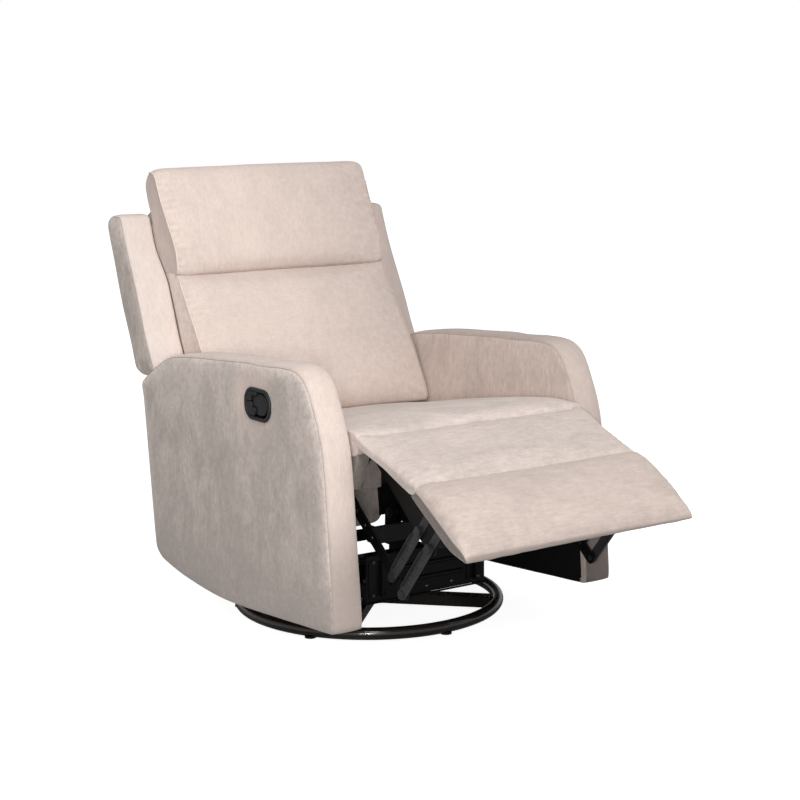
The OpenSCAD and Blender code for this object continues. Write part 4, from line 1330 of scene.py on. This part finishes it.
def rings(name, loops, mats, body, slot, cap=True):
    """A skin over a stack of closed loops with the same number of points."""
    n = len(loops[0])
    V = np.concatenate(loops)
    F = []
    for i in range(len(loops) - 1):
        for k in range(n):
            F.append((i * n + k, i * n + (k + 1) % n, (i + 1) * n + (k + 1) % n, (i + 1) * n + k))
    if cap:
        F.append(tuple((len(loops) - 1) * n + k for k in range(n)))
    o = make(name, V, F, True, mats)
    fix_normals(o)
    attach(o, body)
    return o


def rr(c, w, h, r, n=72):
    """A rounded rectangle with n points at even angles of travel, so that loops of other sizes match it."""
    P = []
    per = n // 4
    for cx, cy, a0 in ((w / 2 - r, h / 2 - r, 0), (-w / 2 + r, h / 2 - r, 90), (-w / 2 + r, -h / 2 + r, 180), (w / 2 - r, -h / 2 + r, 270)):
        for k in range(per):
            a = math.radians(a0 + 90 * k / (per - 1))
            P.append((c[0] + cx + r * math.cos(a), c[1] + cy + r * math.sin(a)))
    return np.array(P)


def at_x(x, P):
    return np.column_stack([np.full(len(P), x), P])


# the moulded cup of the release handle: a broad rounded rim, a sunk floor and two raised steps behind the paddle
HC = HANDLE
sec = [(-378.2, 105, 71, 31), (-380.0, 106, 72, 31.5), (-382.0, 105.4, 71.4, 31.2), (-383.3, 103.6, 69.6, 30.4), (-384.0, 100.6, 66.6, 28.9),
       (-384.0, 94.0, 60.0, 25.8), (-383.4, 91.4, 57.4, 24.4), (-382.2, 89.9, 55.9, 23.7), (-380.4, 89.3, 55.3, 23.3), (-372, 88.8, 54.8, 23.1),
       (-360, 88.0, 54.0, 22.6), (-351, 86.6, 52.6, 22.0), (-348.5, 82, 48, 19.5), (-348, 68, 34, 14)]
rim = rings("handle_cup", [at_x(x, rr(HC, w, h, r)) for x, w, h, r in sec], [M_plastic], "chair", "black_plastic")
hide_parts("handle_bezel")
solid("handle_cup_steps", [
    block([(-131.0, 554.0), (-131.0, 562.4), (-106, 561.6), (-98, 558.6), (-92.4, 552.6), (-89.6, 545), (-89.2, 540), (-108, 540.5), (-108.6, 553.2)], -383.2, -352),
    block([(-125.0, 527.0), (-109.4, 527.4), (-108.6, 538.5), (-89.2, 538.5), (-89.6, 525), (-92.4, 517.4), (-98, 511.6), (-106, 508.6), (-118, 508.2), (-123.4, 513), (-125.4, 520)], -382.6, -352),
], [M_plastic], "chair", 1.3, 3)
solid("handle_cup_screws", [block([(y + 2.6 * math.cos(a), z + 2.6 * math.sin(a)) for a in np.linspace(0, 2 * math.pi, 13)[:-1]], -349.6, -347.6)
                            for y, z in ((-158, 535), (-140, 548), (-140, 522))], [M_rivet], "chair", 0.4, 1)

# the paddle: a plate that stands almost flush, its finger tab and the hub that it turns on
PLATE = curve([(-129.5, 558), (-145, 558.5), (-155, 556.5), (-163, 550.5), (-167, 542), (-167, 528), (-163, 519.5), (-155, 513.5), (-145, 511.5), (-131, 512),
               (-127.5, 514, 1), (-127.0, 528, 1), (-113.5, 530, 1), (-111.8, 533), (-111.8, 548), (-113.5, 551, 1), (-127.5, 552, 1)], 3.0)
lev = [block(PLATE, -379.2, -372.4)]
lip = [(-167, 526), (-161, 526), (-161, 544), (-167, 544)]
lev.append(block(lip, -378, -366.2))
hub = []
for z in (526.0, 528.0, 542.0, 544.0):
    r = 4.2 if z in (526.0, 544.0) else 5.0
    hub.append(np.array([(-366 + r * math.cos(a), -172 + r * math.sin(a), z) for a in np.linspace(0, 2 * math.pi, 25)[:-1]]))
hv = np.concatenate(hub)
hf = [(i * 24 + k, i * 24 + (k + 1) % 24, (i + 1) * 24 + (k + 1) % 24, (i + 1) * 24 + k) for i in range(3) for k in range(24)]
hf += [tuple(range(24))[::-1], tuple(range(72, 96))]
lev.append((hv, hf))
paddle = solid("handle_lever", lev, [M_plastic], "handle", 1.4, 3)
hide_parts("handle_paddle")


# lower back of the chair: the fabric panel between the arms, its soft folds, and the lining beside and above it
def lean(z):
    return 338.2 + (z - 92) * 0.1405


def lower_back():
    out = [(-236, 93), (-262, 101), (-275, 122), (-277, 150), (-276, 288, 1), (276, 288, 1), (277, 150), (275, 122), (262, 101), (236, 93), (0, 90)]
    s = Slab([(x, z) + tuple(r) for x, z, *r in out], -6.5, 6.5, 10.0, [0.5], (3, 7))
    V = s.V.copy()
    x, z = V[:, 1].copy(), V[:, 2].copy()
    d = s.d
    puff = np.where(s.kind == 2, 0, 4.5 * (1 - np.exp(-d / 16)))
    folds = np.sin(x / 17.0 + 1.6 * vnoise(np.column_stack([x, z * 0.2, 0 * x]), 90, 91)) * (0.5 + 0.5 * vnoise(np.column_stack([x, z, 0 * x]), 150, 92))
    front = s.kind == 0
    y = V[:, 0] + lean(z)
    y -= np.where(front, puff + 2.6 * folds * ease(d / 25), 0)
    y += np.where(s.kind == 1, puff * 0.6 + 1.2 * folds * ease(d / 25), 0)
    # painted light: the panel's front face gets the lighter copy
    o = make("lower_back_panel", np.column_stack([x, y, z]), s.F, True, [F_rear, F_lit_lower], np.where(s.fm == 0, 1, 0))
    fix_normals(o)
    subdivide(o)
    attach(o, "chair")
    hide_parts("rear_panel")


lower_back()


def sheet(name, path, x0, x1, thick, mat, nx=36, wave=0.0, seed=0, step=9.0):
    """A cloth strip that follows a path in Y and Z, from x0 to x1."""
    P = curve(path, step, closed=False)
    t = np.gradient(P, axis=0)
    t /= np.linalg.norm(t, axis=1)[:, None]
    nrm = np.column_stack([-t[:, 1], t[:, 0]])
    xs = np.linspace(x0, x1, nx + 1)
    V = []
    for side in (0.5, -0.5):
        for i, (p, q) in enumerate(zip(P, nrm)):
            w = wave * np.sin(xs / 19.0 + seed + 1.4 * vnoise(np.column_stack([xs, xs * 0 + i * 3.0, xs * 0]), 70, seed)) * math.sin(math.pi * i / (len(P) - 1))
            a = p + q * thick * side
            V.append(np.column_stack([xs, a[0] + q[0] * w, a[1] + q[1] * w]))
    m, n = len(P), nx + 1
    V = np.concatenate(V)
    F = []
    for s0, flip in ((0, False), (m * n, True)):
        for i in range(m - 1):
            for k in range(nx):
                q = (s0 + i * n + k, s0 + i * n + k + 1, s0 + (i + 1) * n + k + 1, s0 + (i + 1) * n + k)
                F.append(q[::-1] if flip else q)
    o2 = m * n
    for i in range(m - 1):
        F.append((i * n, (i + 1) * n, o2 + (i + 1) * n, o2 + i * n))
        F.append((i * n + nx, o2 + i * n + nx, o2 + (i + 1) * n + nx, (i + 1) * n + nx))
    for k in range(nx):
        F.append((k, o2 + k, o2 + k + 1, k + 1))
        a = (m - 1) * n
        F.append((a + k, a + k + 1, o2 + a + k + 1, o2 + a + k))
    o = make(name, V, F, True, [mat])
    fix_normals(o)
    return o


for side, sg in (("right", -1), ("left", 1)):
    o = sheet("side_lining_" + side, [(lean(112) - 9, 112), (lean(200) - 9, 200), (lean(288) - 9, 288), (lean(288) + 4, 330)], sg * 262, sg * 306, 3.0, M_lining, 8)
    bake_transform(o)

gap = sheet("rear_gap_lining", [(lean(270), 270), (lean(288), 288), (362, 312), (356, 336), (353, 356)], -276, 276, 3.0, M_lining, 40, 2.0, 5)
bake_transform(gap)

crumb = sheet("seat_back_lining", [(196, 404), (214, 402), (232, 405), (246, 414), (256, 425), (264, 436)], -290, 290, 4.0, F_seat, 40, 1.2, 9)
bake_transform(crumb)


# boards under the seat wear cloth where they show between the arms and the footrest; the cloth is a darker copy of the
# chenille, painted shade for the gap
def wrapped_block(name, outline, x0, x1, mat, body, bev=5.0):
    V, F = block(outline, x0, x1)
    o = make(name, V, F, True, [mat])
    fix_normals(o)
    bevelled(o, bev, 4)
    for q in o.data.polygons:
        q.use_smooth = True
    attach(o, body)
    return o


for side, sg in (("right", -1), ("left", 1)):
    wrapped_block("seat_corner_wrap_" + side, [(-401, 449), (-399, 462), (-368, 462), (-350, 380), (-355, 376), (-366, 377), (-392, 430)],
                  sg * 272.5, sg * 303, F_shaded_wrap, "chair", 3.5)
    wrapped_block("seat_side_wrap_" + side, [(-364, 440), (-362, 446), (-330, 441), (-330, 374), (-362, 374), (-364, 378)],
                  sg * 217, sg * 264.5, F_shaded_wrap, "chair", 3.0)
wrapped_block("seat_front_lining", [(-363, 441), (-362, 445), (-336, 441), (-336, 386), (-361, 387), (-363, 390)], -216, 216, M_lining, "chair", 2.0)


# rivet heads, flanges, ribs and springs on the mechanism
def dome(y, z, x, out, r, h):
    """A rivet head at x, standing towards out (+1 or -1 along X)."""
    V, F = [], []
    prof = [(1.0, 0.0), (1.0, 0.25), (0.86, 0.62), (0.55, 0.9), (0.0, 1.0)]
    n = 20
    for a, b in prof[:-1]:
        for k in range(n):
            w = 2 * math.pi * k / n
            V.append((x + out * h * b, y + r * a * math.cos(w), z + r * a * math.sin(w)))
    V.append((x + out * h, y, z))
    for i in range(3):
        for k in range(n):
            F.append((i * n + k, i * n + (k + 1) % n, (i + 1) * n + (k + 1) % n, (i + 1) * n + k))
    for k in range(n):
        F.append((3 * n + k, 3 * n + (k + 1) % n, 4 * n))
    F.append(tuple(range(n))[::-1])
    return V, F


def domes(name, items, mat, body):
    V, F = join(name, [dome(*i) for i in items])
    o = make(name, V, F, True, [mat])
    fix_normals(o)
    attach(o, body)
    return o


def coil(name, p0, p1, r, wire, turns, body, mat):
    p0, p1 = np.array(p0, float), np.array(p1, float)
    ax = p1 - p0
    L = np.linalg.norm(ax)
    ax /= L
    a = np.cross(ax, [1.0, 0, 0])
    a /= np.linalg.norm(a)
    b = np.cross(ax, a)
    pts = []
    hook = 0.14
    m = turns * 14
    pts.append(p0)
    pts.append(p0 + ax * L * hook * 0.8)
    for i in range(m + 1):
        t = i / m
        w = 2 * math.pi * turns * t
        pts.append(p0 + ax * L * (hook + (1 - 2 * hook) * t) + r * (math.cos(w) * a + math.sin(w) * b))
    pts.append(p1 - ax * L * hook * 0.8)
    pts.append(p1)
    o = tube(name, pts, wire, 6, [mat])
    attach(o, body)
    return o


P1, P2 = np.array((-555.672, 323.328)), np.array((-590.954, 293.796))
J1, J2 = np.array((-463.672, 207.328)), np.array((-498.954, 177.796))
T, H, R = np.array((-298.0, 346.0)), np.array((-390.0, 462.0)), np.array((250.0, 330.0))
U = (J1 - T) / np.linalg.norm(J1 - T)
LAY_IN, LAY_OUT, LT = 251.0, 258.0, 5.0


def bar_outline(a, b, w, n=9):
    """A link's outline: a strip with round ends."""
    d = (b - a) / np.linalg.norm(b - a)
    k = np.array([-d[1], d[0]])
    out = []
    for c, s0 in ((b, 1), (a, -1)):
        for i in range(n):
            t = math.pi * i / (n - 1)
            out.append(tuple(c + s0 * (w / 2) * (k * math.cos(t) + d * math.sin(t))))
    return out


for side, sg in (("right", -1), ("left", 1)):
    # flanges that stiffen the links along one edge
    for tag, body, a, b, x0 in (("front", "front_coupler", J2, P2, LAY_OUT + LT), ("rear", "rear_coupler", J1, P1, LAY_OUT + LT)):
        d = (b - a) / np.linalg.norm(b - a)
        k = np.array([d[1], -d[0]])
        a2, b2 = a + d * 17, b - d * 17
        w = 10.6
        solid("coupler_flange_%s_%s" % (tag, side), [block([tuple(a2 + k * w), tuple(b2 + k * w), tuple(b2 + k * (w - 2.2)), tuple(a2 + k * (w - 2.2))], sg * (x0 - 2), sg * (x0 + 5.5))],
              [M_link], body, 0.9, 2)
        domes("coupler_rivets_%s_%s" % (tag, side), [(*(a + d * t * np.linalg.norm(b - a)), sg * x0, sg, 3.4, 1.8) for t in (0.27, 0.78)], M_rivet, body)
    cd = (P1 - J1) / np.linalg.norm(P1 - J1)
    heads = []
    for P_, ln in ((P1, 62), (P2, 66)):
        heads.append(block(bar_outline(P_ - cd * 2, P_ + cd * ln, 21.0), sg * 256.0, sg * 257.4))
    solid("link_heads_" + side, heads, [M_link], "footrest", 0.5, 2)
    domes("link_head_rivets_" + side, [(*(P_ + cd * t), sg * 257.4, sg, 3.4, 1.8) for P_ in (P1, P2) for t in (24, 44)], M_rivet, "footrest")
    domes("drive_rivets_" + side, [(*(T + U * t), sg * (LAY_IN + LT), sg, 4.0, 2.2) for t in (38, 78, 112)], M_rivet, "drive")
    domes("plate_rivets_" + side, [(y, z, sg * 270.2, sg, 5.0, 2.6) for y, z in ((-330, 420), (-250, 390), (-120, 372), (0, 352), (120, 338), (190, 344))], M_rivet, "chair")
    # the tension spring of the footrest, hooked between two studs of the seat frame
    coil("footrest_spring_" + side, (sg * 236, -262, 338), (sg * 232, -60, 316), 8.0, 1.5, 15, "chair", M_black)
    solid("spring_anchor_" + side, [block([(-270, 330), (-254, 330), (-254, 352), (-270, 352)], sg * 230, sg * 262), block([(-68, 306), (-52, 306), (-52, 372), (-68, 372)], sg * 230, sg * 246)],
          [M_black], "chair", 1.2, 2)
    # stop bracket low on the glider's front corner
    solid("glider_corner_bracket_" + side, [block([(-246, 92), (-230.5, 92), (-230.5, 172), (-238, 172), (-246, 150)], sg * 128, sg * 132),
                                            block([(-233, 92), (-230.5, 92), (-230.5, 172), (-233, 172)], sg * 112, sg * 160)], [M_black], "carriage", 0.8, 2)


def ydome(name, items, mat, body):
    """Heads that face forward, items of (x, y, z, radius, height)."""
    parts = []
    for x, y, z, r, h in items:
        V, F = dome(x, z, 0, -1, r, h)
        V = np.array(V)
        parts.append((np.column_stack([V[:, 1], y + V[:, 0], V[:, 2]]), F))
    V, F = join(name, parts)
    o = make(name, V, F, True, [mat])
    fix_normals(o)
    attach(o, body)
    return o


ydome("front_plate_bolts", [(x, -230.2, z, 6.0, 4.0) for x in (-146, -70, 0, 70, 146) for z in (94, 170)], M_rivet, "carriage")
rib = []
for z in (116, 148):
    pts = [(-230.0, z - 6), (-234.5, z - 3), (-234.5, z + 3), (-230.0, z + 6)]
    rib.append(block(pts, -100, 100))
solid("front_plate_ribs", rib, [M_black], "carriage", 1.0, 2)
solid("front_plate_lip", [block([(-230.2, 184), (-239, 184), (-239, 187.5), (-226, 187.5)], -165, 165), block([(-230.2, 80), (-237, 80), (-237, 77), (-228, 77)], -165, 165)],
      [M_black], "carriage", 0.8, 2)


# ------------------------------------------------------------------ stage, light, camera

def stage_plane():
    me = bpy.data.meshes.new("floor")
    s = 14.0
    me.from_pydata([(-s, -s, 0), (s, -s, 0), (s, s, 0), (-s, s, 0)], [], [(0, 1, 2, 3)])
    o = bpy.data.objects.new("floor", me)
    scene.collection.objects.link(o)
    m, t, b = nodes_of("floor_white")
    n = noise(t, coord(t, (1, 1, 1)), 3.0, 2.0)
    link(t, ramp(t, n, [(0.3, (0.49, 0.49, 0.49)), (0.7, (0.51, 0.51, 0.51))]), b.inputs["Base Color"])
    b.inputs["Roughness"].default_value = 0.9
    b.inputs["Specular IOR Level"].default_value = 0.1
    # the floor reads as a white sweep to the eye and stays a plain diffuse floor for the light
    lp = t.nodes.new("ShaderNodeLightPath")
    em = t.nodes.new("ShaderNodeEmission")
    em.inputs["Strength"].default_value = 0.90
    add = t.nodes.new("ShaderNodeAddShader")
    mix = t.nodes.new("ShaderNodeMixShader")
    out = [x for x in t.nodes if x.type == "OUTPUT_MATERIAL"][0]
    link(t, b.outputs[0], add.inputs[0])
    link(t, em.outputs[0], add.inputs[1])
    link(t, lp.outputs["Is Camera Ray"], mix.inputs[0])
    link(t, b.outputs[0], mix.inputs[1])
    link(t, add.outputs[0], mix.inputs[2])
    link(t, mix.outputs[0], out.inputs[0])
    me.materials.append(m)


stage_plane()

scene.view_settings.view_transform = "Standard"

w = bpy.data.worlds.new("studio")
scene.world = w
w.use_nodes = True
wt = w.node_tree
wt.nodes.clear()
w_out = wt.nodes.new("ShaderNodeOutputWorld")
w_mix = wt.nodes.new("ShaderNodeMixShader")
w_lp = wt.nodes.new("ShaderNodeLightPath")
w_soft = wt.nodes.new("ShaderNodeBackground")
w_soft.inputs[0].default_value = (0.97, 0.985, 1.0, 1)
w_soft.inputs[1].default_value = 0.42
w_white = wt.nodes.new("ShaderNodeBackground")
w_white.inputs[0].default_value = (1, 1, 1, 1)
w_white.inputs[1].default_value = 1.0
wt.links.new(w_lp.outputs["Is Camera Ray"], w_mix.inputs[0])
wt.links.new(w_soft.outputs[0], w_mix.inputs[1])
wt.links.new(w_white.outputs[0], w_mix.inputs[2])
wt.links.new(w_mix.outputs[0], w_out.inputs[0])


def area(name, loc, target, size, power, colour=(1, 1, 1)):
    L = bpy.data.lights.new(name, "AREA")
    L.shape = "RECTANGLE"
    L.size, L.size_y = size
    L.energy = power
    L.color = colour
    o = bpy.data.objects.new(name, L)
    scene.collection.objects.link(o)
    o.location = loc
    o.rotation_euler = (Vector(target) - Vector(loc)).to_track_quat("-Z", "Y").to_euler()
    return o


area("key", (-0.9, -3.9, 3.9), (0, 0, 0.5), (2.8, 2.2), 192, (1.0, 0.985, 0.965))
area("low", (-2.25, -3.2, 1.02), (0.2, 0.3, 0.22), (0.32, 0.32), 38, (1.0, 0.985, 0.965))
area("fill", (-3.4, -0.6, 3.3), (0, 0, 0.6), (2.0, 2.0), 17, (1.0, 0.99, 0.98))

cam = bpy.data.cameras.new("camera")
cam.sensor_width = 36.0
cam.lens = 1881.0 * 36.0 / 800.0
cam.clip_end = 60
co = bpy.data.objects.new("camera", cam)
scene.collection.objects.link(co)
az, el = math.radians(-35.5), math.radians(9.95)
fwd = Vector((math.sin(-az) * math.cos(el), math.cos(az) * math.cos(el), -math.sin(el)))
co.location = (-2.4415, -3.5490, 1.2431)
co.rotation_euler = fwd.to_track_quat("-Z", "Y").to_euler()
scene.camera = co
